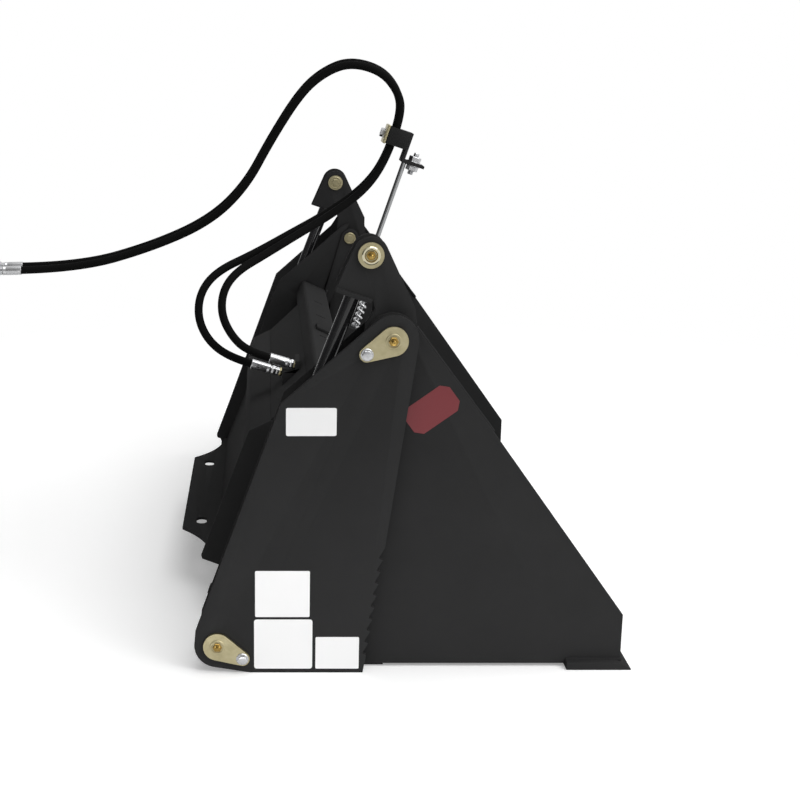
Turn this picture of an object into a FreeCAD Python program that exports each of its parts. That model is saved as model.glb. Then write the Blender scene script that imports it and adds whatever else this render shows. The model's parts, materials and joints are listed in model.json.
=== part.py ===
import FreeCAD, Part
import math
import os

# Four-in-one bucket for a skid-steer loader, in millimetres.
# X points forwards to the cutting edge, Y to the machine's left, Z up.
# The origin lies on the ground, midway between the rear tip and the cutting edge.

Vector = FreeCAD.Vector

# Overall sizes
overall_width = 1829.0
front_tip_x = 542.0
rear_tip_x = -542.0

# Plate thicknesses
side_plate_t = 12.0
clam_side_t = 10.0
clam_arm_t = 12.0
ear_t = 12.0
sheet_t = 8.0
hinge_ear_t = 20.0

# Gaps across the width
edge_side_gap = 1.0
clam_side_gap = 22.0
clevis_gap = 56.0
ear_gap = 2.0
weld_seat = 0.3

# Pivots, in side view
hinge_x = -34.0
hinge_z = 791.0
base_pin_x = -427.5
base_pin_z = 67.0
rod_pin_x = -83.5
rod_pin_z = 974.5
pin_r = 19.0
running_clearance = 0.05
hinge_lobe_r = 57.0
base_lobe_r = 54.0
rod_lobe_r = 40.0
hinge_ear_r = 29.0
hub_r = 33.0
bush_wall = 5.0
pin_overhang = 3.0
hub_overhang = 4.0

# Flag heads of the pins
flag_t = 8.0
flag_r = 33.0
flag_tail_r = 17.0
flag_length = 65.0
flag_drop_deg = 27.0
flag_bolt_r = 6.0
bolt_head_r = 9.5
bolt_head_t = 7.0
rod_pin_head_r = 29.0

# Side plates of the rear half
side_knee_x = -478.5
side_knee_z = 102.0
side_shoulder_x = -281.0
side_shoulder_z = 648.0
side_front_x = -42.7
side_front_z = 308.6
side_toe_x = -81.5
side_toe_z = 44.3
side_foot_x = -89.0
side_heel_x = -352.0
tooth_count = 9
tooth_depth = 10.0
tooth_share = 0.92

# Formed sheet and its cutting edge
sheet_top_x = -136.0
sheet_top_z = 556.0
sheet_lean_deg = 20.76
sheet_bend_r = 130.0
sheet_floor_z = 24.0
sheet_lip_x = -150.0
rear_edge_back_x = -262.0
rear_edge_tip_x = -100.0
rear_edge_t = 16.0
rear_edge_bevel = 24.0
rear_edge_tip_t = 4.0
trim_above = 300.0
trim_ahead = 60.0

# Cross tube along the top of the sheet
tube_lean_deg = 24.4
tube_width = 88.0
tube_height = 60.4
tube_wall = 6.0
tube_slot_places = (-95.0, 215.0, 450.0)
tube_slot_length = 30.0
tube_slot_width = 8.0
tube_corner_r = 10.0
hinge_ear_seat = 6.0
hinge_ear_depth = 26.0
tube_end_gap = 3.0
inner_plate_step = 9.0
inner_plate_t = 8.0

# Attachment plate for the loader
mount_width = 1143.0
mount_foot_x = -468.0
mount_foot_z = 194.0
mount_lean_deg = 21.0
mount_recess = 37.0
mount_plate_t = 8.0
mount_bottom = -42.0
mount_lip_u = 361.0
mount_hook_u = 317.0
mount_hook_tip_u = 273.0
gusset_t = 8.0
gusset_reach = 420.0
end_plate_set_in = 6.0
end_plate_step = 8.0
rib_places = (190.0, 380.0)
rib_top_drop = 12.0
hook_root_drop = 16.0
hook_root_land = 3.0
hook_under = 5.0
hook_reach = 3.0
hook_top_run = 9.0
flange_drop_deg = 20.0
flange_tip_half = 331.0
flange_arc_depth = 24.0
flange_arc_shift = 8.0
flange_root_run = 14.0
flange_root_rise = 4.0
flange_root_sink = 2.0
slot_length = 52.0
slot_width = 28.0
slot_y = 272.0
slot_along = 50.0
cover_t = 6.0
cover_low_gap = 1.6
cover_top_rise = 12.0

# Lugs and collars of the base pins
lug_rim = 8.0
lug_top_drop = 10.0
collar_rim = 4.0

# Hydraulic cylinders
barrel_r = 35.0
barrel_bore_r = 29.0
barrel_start = 62.0
barrel_end = 600.0
barrel_floor_t = 14.0
barrel_neck_root = 6.0
barrel_neck_lap = 5.0
barrel_neck_step = 3.0
gland_length = 46.0
gland_recess = 12.0
gland_cap_t = 14.0
gland_r = 37.0
eye_r = 36.0
eye_width = 52.0
rod_r = 17.5
piston_length = 40.0
piston_stop_gap = 4.0
rod_eye_r = 32.0
rod_eye_side_gap = 1.0
rod_eye_lap = 6.0
rod_pin_centre_overhang = 1.5
rod_pin_head_t = 8.0
inner_pin_head_t = 5.0
inner_pin_head_rim = 5.0
port_r = 13.0
port_bore_r = 7.0
port_length = 24.0
port_from_floor = 34.0
port_from_end = 70.0
port_lap = 5.0
port_bore_lap = 4.0

# Clamshell
clam_bottom_z = 8.0
clam_back_x = -97.0
clam_back_rise = 30.0
clam_teeth_toe_run = 24.0
clam_teeth_toe_rise = 64.0
clam_waist_x = -95.0
clam_brow_x = 201.0
clam_brow_z = 574.0
clam_nose_x = 520.5
clam_nose_z = 130.0
blade_back_x = 390.4
blade_t = 19.0
blade_flat_x = 510.0
blade_tip_t = 3.0
floor_t = 8.0
lip_bar_width = 60.0
lip_bar_t = 16.0
lip_gap = 2.0
arm_brow_x = 16.0
arm_brow_z = 858.0
arm_root_x = 40.0
arm_root_z = 655.0
arm_foot_drop = 160.0
arm_waist = 60.0
arm_spur_x = -158.5
arm_spur_z = 902.8
arm_notch_x = -78.0
arm_notch_z = 876.0
arm_notch_depth = 22.0
arm_heel_t = 10.0
arm_heel_step = 8.0
ear_lobe_step = 2.0

# Spring hose support
support_lean_deg = 18.6
spring_x = -61.5
spring_z = 640.0
spring_outer_r = 12.0
spring_length = 150.0
coil_turns = 9
coil_low_gap = 1.0
coil_high_gap = 3.0
core_step = 4.0
core_seat = 0.7
support_step = 26.0
support_rod_r = 7.0
support_rod_start = 150.0
support_rod_end = 482.0
foot_t = 8.0
foot_width = 60.0
foot_set_in = 20.0
foot_knee_run = 6.0
foot_drop = 1.0
foot_toe_rim = 12.0
foot_heel_rim = 10.0
foot_toe_run = 3.0
foot_lap_x = 10.0
foot_lap_z = 4.0
holder_half = 15.0
holder_height = 30.0
holder_front_rim = 3.0
holder_back_rim = 14.0
holder_socket = 6.0

# Bracket, clamp and their bolts
bolt_r = 6.0
nut_r = 11.0
bracket_t = 8.0
bracket_half = 36.0
bracket_rise = 82.0
bracket_reach = 28.0
bracket_rise_from_rod = 1.0
bracket_set_back = 12.0
bracket_bolt_reach = 22.0
nut_t = 12.0
clamp_rise = 58.0
clamp_half = 24.0
clamp_thick = 58.0
hose_set_back = 11.0
cap_half = 18.0
cap_t = 4.0
cap_inset = 2.0
cap_bolt_reach = 12.0
clamp_run_low = 74.0
clamp_run_high = 68.0

# Hoses and the port block
hose_r = 11.0
hose_pitch = 28.0
ferrule_r = 13.0
ferrule_length = 56.0
coupler_r = 18.0
coupler_length = 80.0
port_set_back = 60.54
port_a_rise = 20.47
port_step_x = 34.0
port_step_z = 29.0
port_front_gap = 14.0
port_y = -276.0
port_block_half = 45.0
port_pitch = 36.0
fitting_rise_deg = 16.5
adapter_a = 30.0
adapter_b = 14.0
adapter_root = 10.0
adapter_nut_gap = 5.0
adapter_rim = 3.0
port_block_rise = 16.0
block_trim_run = 200.0
block_trim_rise = 200.0
hose_lead = 60.0
hose_arch_offset = 1.0
coupler_half_pitch = 19.5
tail_half_pitch = 16.0


def point(x, z, y=0.0):
    return Vector(x, y, z)


def polar(x, z, length, angle_deg):
    angle = math.radians(angle_deg)
    return x + length * math.cos(angle), z + length * math.sin(angle)


def outline(items):
    """Closed outline in side view, clockwise. Each item is (x, z) or (x, z, radius) of a round lobe."""
    items = [item if len(item) == 3 else (item[0], item[1], 0.0) for item in items]
    count = len(items)
    arriving = [None] * count
    leaving = [None] * count
    for i, (x1, z1, r1) in enumerate(items):
        j = (i + 1) % count
        x2, z2, r2 = items[j]
        span = math.hypot(x2 - x1, z2 - z1)
        tx, tz = (x2 - x1) / span, (z2 - z1) / span
        k = (r1 - r2) / span
        s = math.sqrt(1.0 - k * k)
        mx, mz = k * tx - s * tz, k * tz + s * tx
        leaving[i] = (mx, mz)
        arriving[j] = (mx, mz)
    edges = []
    for i, (x, z, r) in enumerate(items):
        j = (i + 1) % count
        if r > 0.0:
            start = math.atan2(arriving[i][1], arriving[i][0])
            end = math.atan2(leaving[i][1], leaving[i][0])
            sweep = (start - end) % (2.0 * math.pi)
            middle = start - sweep / 2.0
            edges.append(Part.Arc(point(x + r * math.cos(start), z + r * math.sin(start)),
                                  point(x + r * math.cos(middle), z + r * math.sin(middle)),
                                  point(x + r * math.cos(end), z + r * math.sin(end))).toShape())
        x2, z2, r2 = items[j]
        start_point = point(x + r * leaving[i][0], z + r * leaving[i][1])
        end_point = point(x2 + r2 * leaving[i][0], z2 + r2 * leaving[i][1])
        edges.append(Part.LineSegment(start_point, end_point).toShape())
    return Part.Wire(edges)


def plate(items, y_low, y_high):
    face = Part.Face(outline(items))
    face.translate(Vector(0, y_low, 0))
    return face.extrude(Vector(0, y_high - y_low, 0))


def across(x, z, r, y_low, y_high):
    return Part.makeCylinder(r, y_high - y_low, Vector(x, y_low, z), Vector(0, 1, 0))


def ring(x, z, outer, inner, y_low, y_high):
    return across(x, z, outer, y_low, y_high).cut(across(x, z, inner, y_low, y_high))


def rod(start, end, r):
    direction = end.sub(start)
    return Part.makeCylinder(r, direction.Length, start, direction)


def mirrored(shape):
    return shape.mirror(Vector(0, 0, 0), Vector(0, 1, 0))


def pair(shape):
    return Part.makeCompound([shape, mirrored(shape)])


parts = {}


def both_sides(name, shape):
    parts[name + "_right"] = shape
    parts[name + "_left"] = mirrored(shape)


# Stations across the width, measured from the middle; the right-hand side is at negative Y.
side_outer_y = overall_width / 2.0
side_inner_y = side_outer_y - side_plate_t
clam_side_outer = side_inner_y - clam_side_gap
clam_side_inner = clam_side_outer - clam_side_t
arm_inner = clam_side_inner - clam_arm_t
ear_outer = arm_inner - clevis_gap
ear_inner = ear_outer - ear_t
cylinder_y = (arm_inner + ear_outer) / 2.0
hinge_ear_outer = ear_inner - ear_gap
hinge_ear_inner = hinge_ear_outer - hinge_ear_t
tube_half = cylinder_y - gland_r - tube_end_gap
blade_half = side_inner_y - edge_side_gap


# Teeth along the front edge of a side plate
def toothed_edge(x_top, z_top, x_low, z_low, depth):
    dx, dz = x_low - x_top, z_low - z_top
    length = math.hypot(dx, dz)
    nx, nz = dz / length, -dx / length
    points = []
    for i in range(tooth_count):
        tip = i / tooth_count
        root = (i + tooth_share) / tooth_count
        points.append((x_top + dx * tip, z_top + dz * tip))
        points.append((x_top + dx * root + nx * depth, z_top + dz * root + nz * depth))
    points.append((x_low, z_low))
    return points


# Outer side plate of the rear half
side = plate([(base_pin_x, base_pin_z, base_lobe_r), (side_knee_x, side_knee_z),
              (side_shoulder_x, side_shoulder_z), (hinge_x, hinge_z, hinge_lobe_r)]
             + toothed_edge(side_front_x, side_front_z, side_toe_x, side_toe_z, tooth_depth)
             + [(side_foot_x, 0.0), (side_heel_x, 0.0)], -side_outer_y, -side_inner_y)
for pin_x, pin_z in ((base_pin_x, base_pin_z), (hinge_x, hinge_z)):
    side = side.cut(across(pin_x, pin_z, pin_r, -side_outer_y - 1.0, -side_inner_y + 1.0))
both_sides("side_plate", side)

# Formed sheet: a leaning back with one large bend into the floor
lean = math.radians(sheet_lean_deg)
back_x, back_z = -math.sin(lean), -math.cos(lean)
drop = (sheet_top_z - sheet_floor_z) / math.cos(lean)
corner_x = sheet_top_x + back_x * drop
trim = sheet_bend_r / math.tan((math.pi / 2.0 - lean) / 2.0)
bend_start = (corner_x - back_x * trim, sheet_floor_z - back_z * trim)
bend_end = (corner_x + trim, sheet_floor_z)
bend_x, bend_z = bend_end[0], sheet_floor_z + sheet_bend_r
wall_x, wall_z = -math.cos(lean), math.sin(lean)


def sheet_line(depth, top_extra=0.0, lip_extra=0.0):
    """Edges of the sheet's side view, offset backwards by depth, from the top down to the floor's front."""
    radius = sheet_bend_r + depth
    top = point(sheet_top_x + wall_x * depth - back_x * top_extra,
                sheet_top_z + wall_z * depth - back_z * top_extra)
    start = point(bend_start[0] + wall_x * depth, bend_start[1] + wall_z * depth)
    end = point(bend_end[0], sheet_floor_z - depth)
    middle_angle = (math.atan2(wall_z, wall_x) + 1.5 * math.pi) / 2.0
    middle = point(bend_x + radius * math.cos(middle_angle), bend_z + radius * math.sin(middle_angle))
    lip = point(max(sheet_lip_x, bend_end[0] + 1.0) + lip_extra, sheet_floor_z - depth)
    return [Part.LineSegment(top, start).toShape(), Part.Arc(start, middle, end).toShape(),
            Part.LineSegment(end, lip).toShape()]


def sheet_solid(near, far, half_width, top_extra=0.0, lip_extra=0.0):
    first = sheet_line(near, top_extra, lip_extra)
    second = sheet_line(far, top_extra, lip_extra)
    top = Part.LineSegment(first[0].Vertexes[0].Point, second[0].Vertexes[0].Point).toShape()
    lip = Part.LineSegment(first[2].Vertexes[1].Point, second[2].Vertexes[1].Point).toShape()
    face = Part.Face(Part.Wire(Part.__sortEdges__(first + second + [top, lip])))
    face.translate(Vector(0, -half_width, 0))
    return face.extrude(Vector(0, 2.0 * half_width, 0))


parts["moldboard"] = sheet_solid(0.0, sheet_t, side_inner_y)

# Everything ahead of the sheet's rear face, used to trim what is welded behind it
rear_line = sheet_line(sheet_t + weld_seat, trim_above, trim_ahead)
front_top = rear_line[0].Vertexes[0].Point
front_low = rear_line[2].Vertexes[1].Point
closing = [front_low, point(front_tip_x, front_low.z), point(front_tip_x, front_top.z), front_top]
closing_edges = [Part.LineSegment(a, b).toShape() for a, b in zip(closing, closing[1:])]
front_face = Part.Face(Part.Wire(Part.__sortEdges__(rear_line + closing_edges)))
front_face.translate(Vector(0, -side_outer_y, 0))
ahead_of_sheet = front_face.extrude(Vector(0, overall_width, 0))


def behind_sheet(shape):
    """What is left of a welded plate behind the sheet, without any offcut."""
    return min(shape.cut(ahead_of_sheet).Solids, key=lambda solid: solid.CenterOfMass.x)


# Flat bar under the sheet's floor, bevelled to a thin front edge
rear_edge = plate([(rear_edge_back_x, 0.0), (rear_edge_back_x, rear_edge_t),
                   (rear_edge_tip_x - rear_edge_bevel, rear_edge_t), (rear_edge_tip_x, rear_edge_tip_t),
                   (rear_edge_tip_x, 0.0)],
                  -side_inner_y, side_inner_y)
parts["rear_cutting_edge"] = rear_edge

# Box-section cross tube, seated on the top of the sheet
tube_angle = -tube_lean_deg
tube_low_front = (sheet_top_x, sheet_top_z + weld_seat)
tube_high_front = polar(tube_low_front[0], tube_low_front[1], tube_height, tube_angle + 90.0)
tube_low_back = polar(tube_low_front[0], tube_low_front[1], -tube_width, tube_angle)
tube_centre_x = (tube_low_back[0] + tube_high_front[0]) / 2.0
tube_centre_z = (tube_low_back[1] + tube_high_front[1]) / 2.0


def tube_point(along, up):
    """Point in the tube's section: along its top face from the centre, and up from the centre."""
    x, z = polar(tube_centre_x, tube_centre_z, along, tube_angle)
    return polar(x, z, up, tube_angle + 90.0)


def tube_section(inset):
    a = tube_width / 2.0 - inset
    b = tube_height / 2.0 - inset
    r = max(tube_corner_r - inset, tube_corner_r - tube_wall)
    corners = [tube_point(-a + r, -b + r), tube_point(-a + r, b - r), tube_point(a - r, b - r),
               tube_point(a - r, -b + r)]
    return [(x, z, r) for x, z in corners]


tube = plate(tube_section(0.0), -tube_half, tube_half)
tube = tube.cut(plate(tube_section(tube_wall), -tube_half - 1.0, tube_half + 1.0))
slot_top = tube_height / 2.0 + 1.0
slot_floor = tube_height / 2.0 - tube_wall - 1.0
slot_half = tube_slot_length / 2.0
slot_outline = [tube_point(-slot_half, slot_floor), tube_point(-slot_half, slot_top),
                tube_point(slot_half, slot_top), tube_point(slot_half, slot_floor)]
for y in tube_slot_places:
    tube = tube.cut(plate(slot_outline, y - tube_slot_width / 2.0, y + tube_slot_width / 2.0))
parts["cross_tube"] = tube

# Attachment plate: side view in its own leaning frame, u up the plate and n to the rear
mount_lean = math.radians(mount_lean_deg)


def mount_point(u, n):
    return (mount_foot_x + u * math.sin(mount_lean) - n * math.cos(mount_lean),
            mount_foot_z + u * math.cos(mount_lean) + n * math.sin(mount_lean))


mount_half = mount_width / 2.0 - gusset_t - weld_seat
face_n = -mount_recess
front_n = face_n - mount_plate_t
hook_root_u = mount_lip_u - hook_root_drop
hook = [(mount_bottom, front_n), (mount_bottom, face_n), (hook_root_u, face_n),
        (hook_root_u, face_n + hook_root_land), (mount_hook_u - hook_under, -hook_under),
        (mount_hook_tip_u, -hook_under), (mount_hook_tip_u, hook_reach), (mount_hook_u, hook_reach),
        (mount_lip_u, face_n - 1.0), (mount_lip_u - hook_top_run, front_n)]
attach = plate([mount_point(u, n) for u, n in hook], -mount_half, mount_half)

# Rearward flange with the two wedge-pin slots and swept corners
flange_lean = mount_lean - math.radians(flange_drop_deg)
flange_dir = Vector(-math.cos(flange_lean), 0, math.sin(flange_lean))
flange_up = Vector(math.sin(flange_lean), 0, math.cos(flange_lean))
root_x, root_z = mount_point(mount_bottom + mount_plate_t + flange_root_rise, face_n - flange_root_sink)
flange_length = (root_x - rear_tip_x) / math.cos(flange_lean)


def flange_point(along, y, up=0.0):
    base = Vector(root_x, y, root_z)
    return base.add(Vector(flange_dir).multiply(along)).add(Vector(flange_up).multiply(up))


def flange_arc(sign):
    tip = flange_point(flange_length, sign * flange_tip_half)
    root = flange_point(flange_root_run, sign * mount_half)
    middle = flange_point((flange_root_run + flange_length) / 2.0 - flange_arc_depth,
                          sign * ((flange_tip_half + mount_half) / 2.0 - flange_arc_shift))
    return tip, middle, root


tip_a, mid_a, root_a = flange_arc(-1.0)
tip_b, mid_b, root_b = flange_arc(1.0)
start_a = flange_point(0.0, -mount_half)
start_b = flange_point(0.0, mount_half)
flange_wire = Part.Wire([Part.LineSegment(start_a, root_a).toShape(),
                         Part.Arc(root_a, mid_a, tip_a).toShape(),
                         Part.LineSegment(tip_a, tip_b).toShape(),
                         Part.Arc(tip_b, mid_b, root_b).toShape(),
                         Part.LineSegment(root_b, start_b).toShape(),
                         Part.LineSegment(start_b, start_a).toShape()])
flange = Part.Face(flange_wire).extrude(Vector(flange_up).multiply(-mount_plate_t))


def slot_cutter(y):
    ends = (slot_length - slot_width) / 2.0
    radius = slot_width / 2.0
    low = flange_point(slot_along, y - ends, -2.0 * mount_plate_t)
    high = flange_point(slot_along, y + ends, -2.0 * mount_plate_t)
    depth = 4.0 * mount_plate_t
    first = Part.makeCylinder(radius, depth, low, flange_up)
    second = Part.makeCylinder(radius, depth, high, flange_up)
    corners = [flange_point(slot_along - radius, y - ends, -2.0 * mount_plate_t),
               flange_point(slot_along + radius, y - ends, -2.0 * mount_plate_t),
               flange_point(slot_along + radius, y + ends, -2.0 * mount_plate_t),
               flange_point(slot_along - radius, y + ends, -2.0 * mount_plate_t)]
    middle = Part.Face(Part.makePolygon(corners + [corners[0]])).extrude(Vector(flange_up).multiply(depth))
    return first.fuse([second, middle])


attach = attach.fuse(flange).removeSplitter()
for sign in (-1.0, 1.0):
    attach = attach.cut(slot_cutter(sign * slot_y))
parts["attach_plate"] = attach

# End plates and inner ribs between the attachment plate and the sheet
end_outline = [(mount_bottom, -gusset_reach), (mount_bottom, -end_plate_set_in),
               (mount_bottom + end_plate_step, 0.0), (mount_hook_tip_u, hook_reach),
               (mount_hook_u, hook_reach), (mount_lip_u, face_n - 1.0), (mount_lip_u, -gusset_reach)]
end_plate = plate([mount_point(u, n) for u, n in end_outline],
                  -mount_width / 2.0, -mount_width / 2.0 + gusset_t)
parts["attach_end_plates"] = pair(behind_sheet(end_plate))
rib_top_u = mount_lip_u - rib_top_drop
rib_outline = [(mount_bottom, -gusset_reach), (mount_bottom, front_n - weld_seat),
               (rib_top_u, front_n - weld_seat), (rib_top_u, -gusset_reach)]
ribs = []
for rib_y in rib_places:
    for sign in (-1.0, 1.0):
        rib = plate([mount_point(u, n) for u, n in rib_outline],
                    sign * rib_y - gusset_t / 2.0, sign * rib_y + gusset_t / 2.0)
        ribs.append(behind_sheet(rib))
parts["attach_ribs"] = Part.makeCompound(ribs)

# Sloping cover from the lip up to the cross tube
cover_low = mount_point(mount_lip_u, face_n - cover_low_gap)
cover_high = tube_point(-tube_width / 2.0 - weld_seat, -tube_height / 2.0 + cover_top_rise)
slope_x = cover_high[0] - cover_low[0]
slope_z = cover_high[1] - cover_low[1]
slope = math.hypot(slope_x, slope_z)
under_x, under_z = slope_z / slope * cover_t, -slope_x / slope * cover_t
cover = plate([cover_low, cover_high, (cover_high[0] + under_x, cover_high[1] + under_z),
               (cover_low[0] + under_x, cover_low[1] + under_z)], -mount_half, mount_half)
cover = cover.cut(plate(tube_section(-weld_seat), -tube_half, tube_half))
cover = cover.cut(plate([mount_point(u, n) for u, n in hook], -mount_half - 1.0, mount_half + 1.0))
parts["mount_cover"] = cover

# Inner hinge ears, seated round the tube's top front corner and up to the hinge
ear_top_up = tube_height / 2.0 + weld_seat
ear_front = tube_width / 2.0 + weld_seat
ear_toe = tube_point(ear_front + hinge_ear_depth, -tube_height / 2.0)
ear_corner = [ear_toe, tube_point(ear_front, -tube_height / 2.0), tube_point(ear_front, ear_top_up)]
ear_heel = tube_point(ear_front - hinge_ear_seat, ear_top_up)
hinge_ear = plate([ear_heel, (hinge_x, hinge_z, hinge_ear_r)] + ear_corner,
                  -hinge_ear_outer, -hinge_ear_inner)
hinge_ear = hinge_ear.cut(across(hinge_x, hinge_z, pin_r, -hinge_ear_outer - 1.0, -hinge_ear_inner + 1.0))
parts["hinge_ears"] = pair(hinge_ear)

# Inner side plates behind the sheet: the outer plates' rear outline, set in all round
inner_outline = outline([(base_pin_x, base_pin_z, base_lobe_r), (side_knee_x, side_knee_z),
                         (side_shoulder_x, side_shoulder_z), (hinge_x, hinge_z, hinge_lobe_r),
                         (side_foot_x, 0.0), (side_heel_x, 0.0)])
inner_face = Part.Face(inner_outline).makeOffset2D(-inner_plate_step, 2)
inner_face.translate(Vector(0, -(hinge_ear_outer + hinge_ear_inner + inner_plate_t) / 2.0, 0))
inner_side = inner_face.extrude(Vector(0, inner_plate_t, 0))
inner_side = inner_side.cut(plate(tube_section(-weld_seat), -side_outer_y, 0.0))
ear_room = plate([tube_point(ear_front - hinge_ear_seat - weld_seat, ear_top_up - weld_seat),
                  (hinge_x, hinge_z, hinge_ear_r + weld_seat), (hinge_x, sheet_top_z), ear_toe],
                 -side_outer_y, 0.0)
inner_side = inner_side.cut(ear_room)
rear_bar_room = Part.makeBox(rear_edge_tip_x - rear_edge_back_x + 1.0, side_outer_y, sheet_floor_z,
                             Vector(rear_edge_back_x - 1.0, -side_outer_y, 0.0))
parts["inner_side_plates"] = pair(behind_sheet(inner_side.cut(rear_bar_room)))

# Inner lugs and outer collars hold the cylinder's base pin
lug = plate([(base_pin_x, base_pin_z, eye_r + lug_rim), (bend_x, base_pin_z + eye_r - lug_top_drop),
             (bend_x, sheet_floor_z)], -ear_outer, -ear_inner)
lug = behind_sheet(lug).cut(across(base_pin_x, base_pin_z, pin_r, -side_outer_y, 0.0))
parts["cylinder_lugs"] = pair(lug)
collar = ring(base_pin_x, base_pin_z, eye_r + collar_rim, pin_r, -side_inner_y,
              -cylinder_y - eye_width / 2.0 - rod_eye_side_gap)
parts["base_collars"] = pair(collar)


# Pins with teardrop flag heads outside the side plates
def flagged_pin(x, z, y_end, tail_angle):
    tail_x, tail_z = polar(x, z, flag_length, tail_angle)
    if tail_x > x:
        items = [(x, z, flag_r), (tail_x, tail_z, flag_tail_r)]
    else:
        items = [(tail_x, tail_z, flag_tail_r), (x, z, flag_r)]
    flag = plate(items, -side_outer_y - flag_t, -side_outer_y)
    flag = flag.cut(across(tail_x, tail_z, flag_bolt_r, -side_outer_y - flag_t - 1.0, -side_outer_y + 1.0))
    shaft = across(x, z, pin_r, -side_outer_y - flag_t, -y_end)
    return flag.fuse(shaft).removeSplitter(), (tail_x, tail_z)


base_pin, base_tail = flagged_pin(base_pin_x, base_pin_z, ear_inner - pin_overhang, -flag_drop_deg)
hinge_pin, hinge_tail = flagged_pin(hinge_x, hinge_z, hinge_ear_inner - pin_overhang, 180.0 + flag_drop_deg)
parts["base_pins"] = pair(base_pin)
parts["hinge_pins"] = pair(hinge_pin)

# Retaining bolts through the flags, threaded into the side plates
bolts = []
for tail_x, tail_z in (base_tail, hinge_tail):
    bolt_hole = across(tail_x, tail_z, flag_bolt_r, -side_outer_y - 1.0, side_outer_y + 1.0)
    for node in ("side_plate_right", "side_plate_left"):
        parts[node] = parts[node].cut(bolt_hole)
    corners = [point(*polar(tail_x, tail_z, bolt_head_r, 60.0 * i)) for i in range(7)]
    head = Part.Face(Part.makePolygon(corners))
    head.translate(Vector(0, -side_outer_y - flag_t - bolt_head_t, 0))
    head = head.extrude(Vector(0, bolt_head_t, 0))
    shank = across(tail_x, tail_z, flag_bolt_r, -side_outer_y - flag_t, -side_inner_y + 1.0)
    bolts.append(head.fuse(shank))
parts["flag_bolts"] = Part.makeCompound([shape for bolt in bolts for shape in (bolt, mirrored(bolt))])

# Thrust washers between the side plates and the clamshell's hubs
hub_outer_y = clam_side_outer + hub_overhang
washer = ring(hinge_x, hinge_z, hub_r, pin_r, -side_inner_y, -hub_outer_y - weld_seat)
parts["thrust_washers"] = pair(washer)

# Clamshell side plates, with the same teeth on their rear edge
clam_back_top = (clam_waist_x, side_front_z)
rear_teeth = toothed_edge(clam_back_top[0], clam_back_top[1], clam_back_x - clam_teeth_toe_run,
                          clam_bottom_z + clam_teeth_toe_rise, tooth_depth)
rear_teeth = list(reversed(rear_teeth))
clam_side = plate([(clam_back_x, clam_bottom_z), (clam_back_x, clam_bottom_z + clam_back_rise)] + rear_teeth
                  + [(hinge_x, hinge_z, hinge_lobe_r), (clam_brow_x, clam_brow_z), (clam_nose_x, clam_nose_z),
                     (clam_nose_x, blade_t), (blade_back_x, blade_t), (blade_back_x, clam_bottom_z)],
                  -clam_side_outer, -clam_side_inner)
clam_side = clam_side.cut(across(hinge_x, hinge_z, hub_r, -side_outer_y, 0.0))
both_sides("clam_side", clam_side)

# Arms with the cylinder clevis, welded inside the clamshell's side plates
neck_x = arm_notch_x + arm_notch_depth / 4.0
neck_z = arm_notch_z - arm_notch_depth
arm = plate([(rod_pin_x, rod_pin_z, rod_lobe_r), (arm_brow_x, arm_brow_z),
             (arm_brow_x + clam_side_t, hinge_z), (arm_root_x, arm_root_z),
             (hinge_x - arm_waist / 2.0, hinge_z - arm_foot_drop),
             (hinge_x - arm_waist, hinge_z - arm_waist), (hinge_x - arm_waist, hinge_z + arm_waist / 2.0),
             (neck_x, neck_z), (arm_notch_x, arm_notch_z), (arm_spur_x, arm_spur_z)],
            -clam_side_inner, -arm_inner)
arm = arm.cut(across(hinge_x, hinge_z, hub_r, -side_outer_y, 0.0))
arm = arm.cut(across(rod_pin_x, rod_pin_z, pin_r, -side_outer_y, 0.0))
heel_run = math.hypot(arm_notch_x - arm_spur_x, arm_notch_z - arm_spur_z)
heel_x = (arm_notch_z - arm_spur_z) / heel_run * arm_heel_t
heel_z = -(arm_notch_x - arm_spur_x) / heel_run * arm_heel_t
heel = plate([(arm_spur_x + heel_x, arm_spur_z + heel_z), (arm_spur_x, arm_spur_z),
              (arm_notch_x, arm_notch_z), (arm_notch_x + heel_x, arm_notch_z + heel_z)],
             -clam_side_inner - arm_heel_step, -arm_inner)
arm = arm.fuse(heel).removeSplitter()
both_sides("clam_arm", arm)
ear_lobe_r = (hub_r + hinge_lobe_r) / 2.0
ear = plate([(rod_pin_x, rod_pin_z, rod_lobe_r - ear_lobe_step), (arm_brow_x, arm_brow_z),
             (arm_brow_x, hinge_z + arm_waist / 2.0), (hinge_x, hinge_z, ear_lobe_r),
             (neck_x, neck_z), (arm_notch_x, arm_notch_z), (arm_spur_x, arm_spur_z)],
            -ear_outer, -ear_inner)
ear = ear.cut(across(hinge_x, hinge_z, hub_r, -side_outer_y, 0.0))
ear = ear.cut(across(rod_pin_x, rod_pin_z, pin_r, -side_outer_y, 0.0))
both_sides("clevis_ear", ear)

# Hinge hubs with their bushes
bush_outer = pin_r + running_clearance + bush_wall
hub = ring(hinge_x, hinge_z, hub_r, bush_outer, -hub_outer_y, -ear_inner)
parts["hinge_hubs"] = pair(hub)
bush = ring(hinge_x, hinge_z, bush_outer, pin_r + running_clearance, -hub_outer_y, -ear_inner)
parts["hinge_bushes"] = pair(bush)

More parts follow.
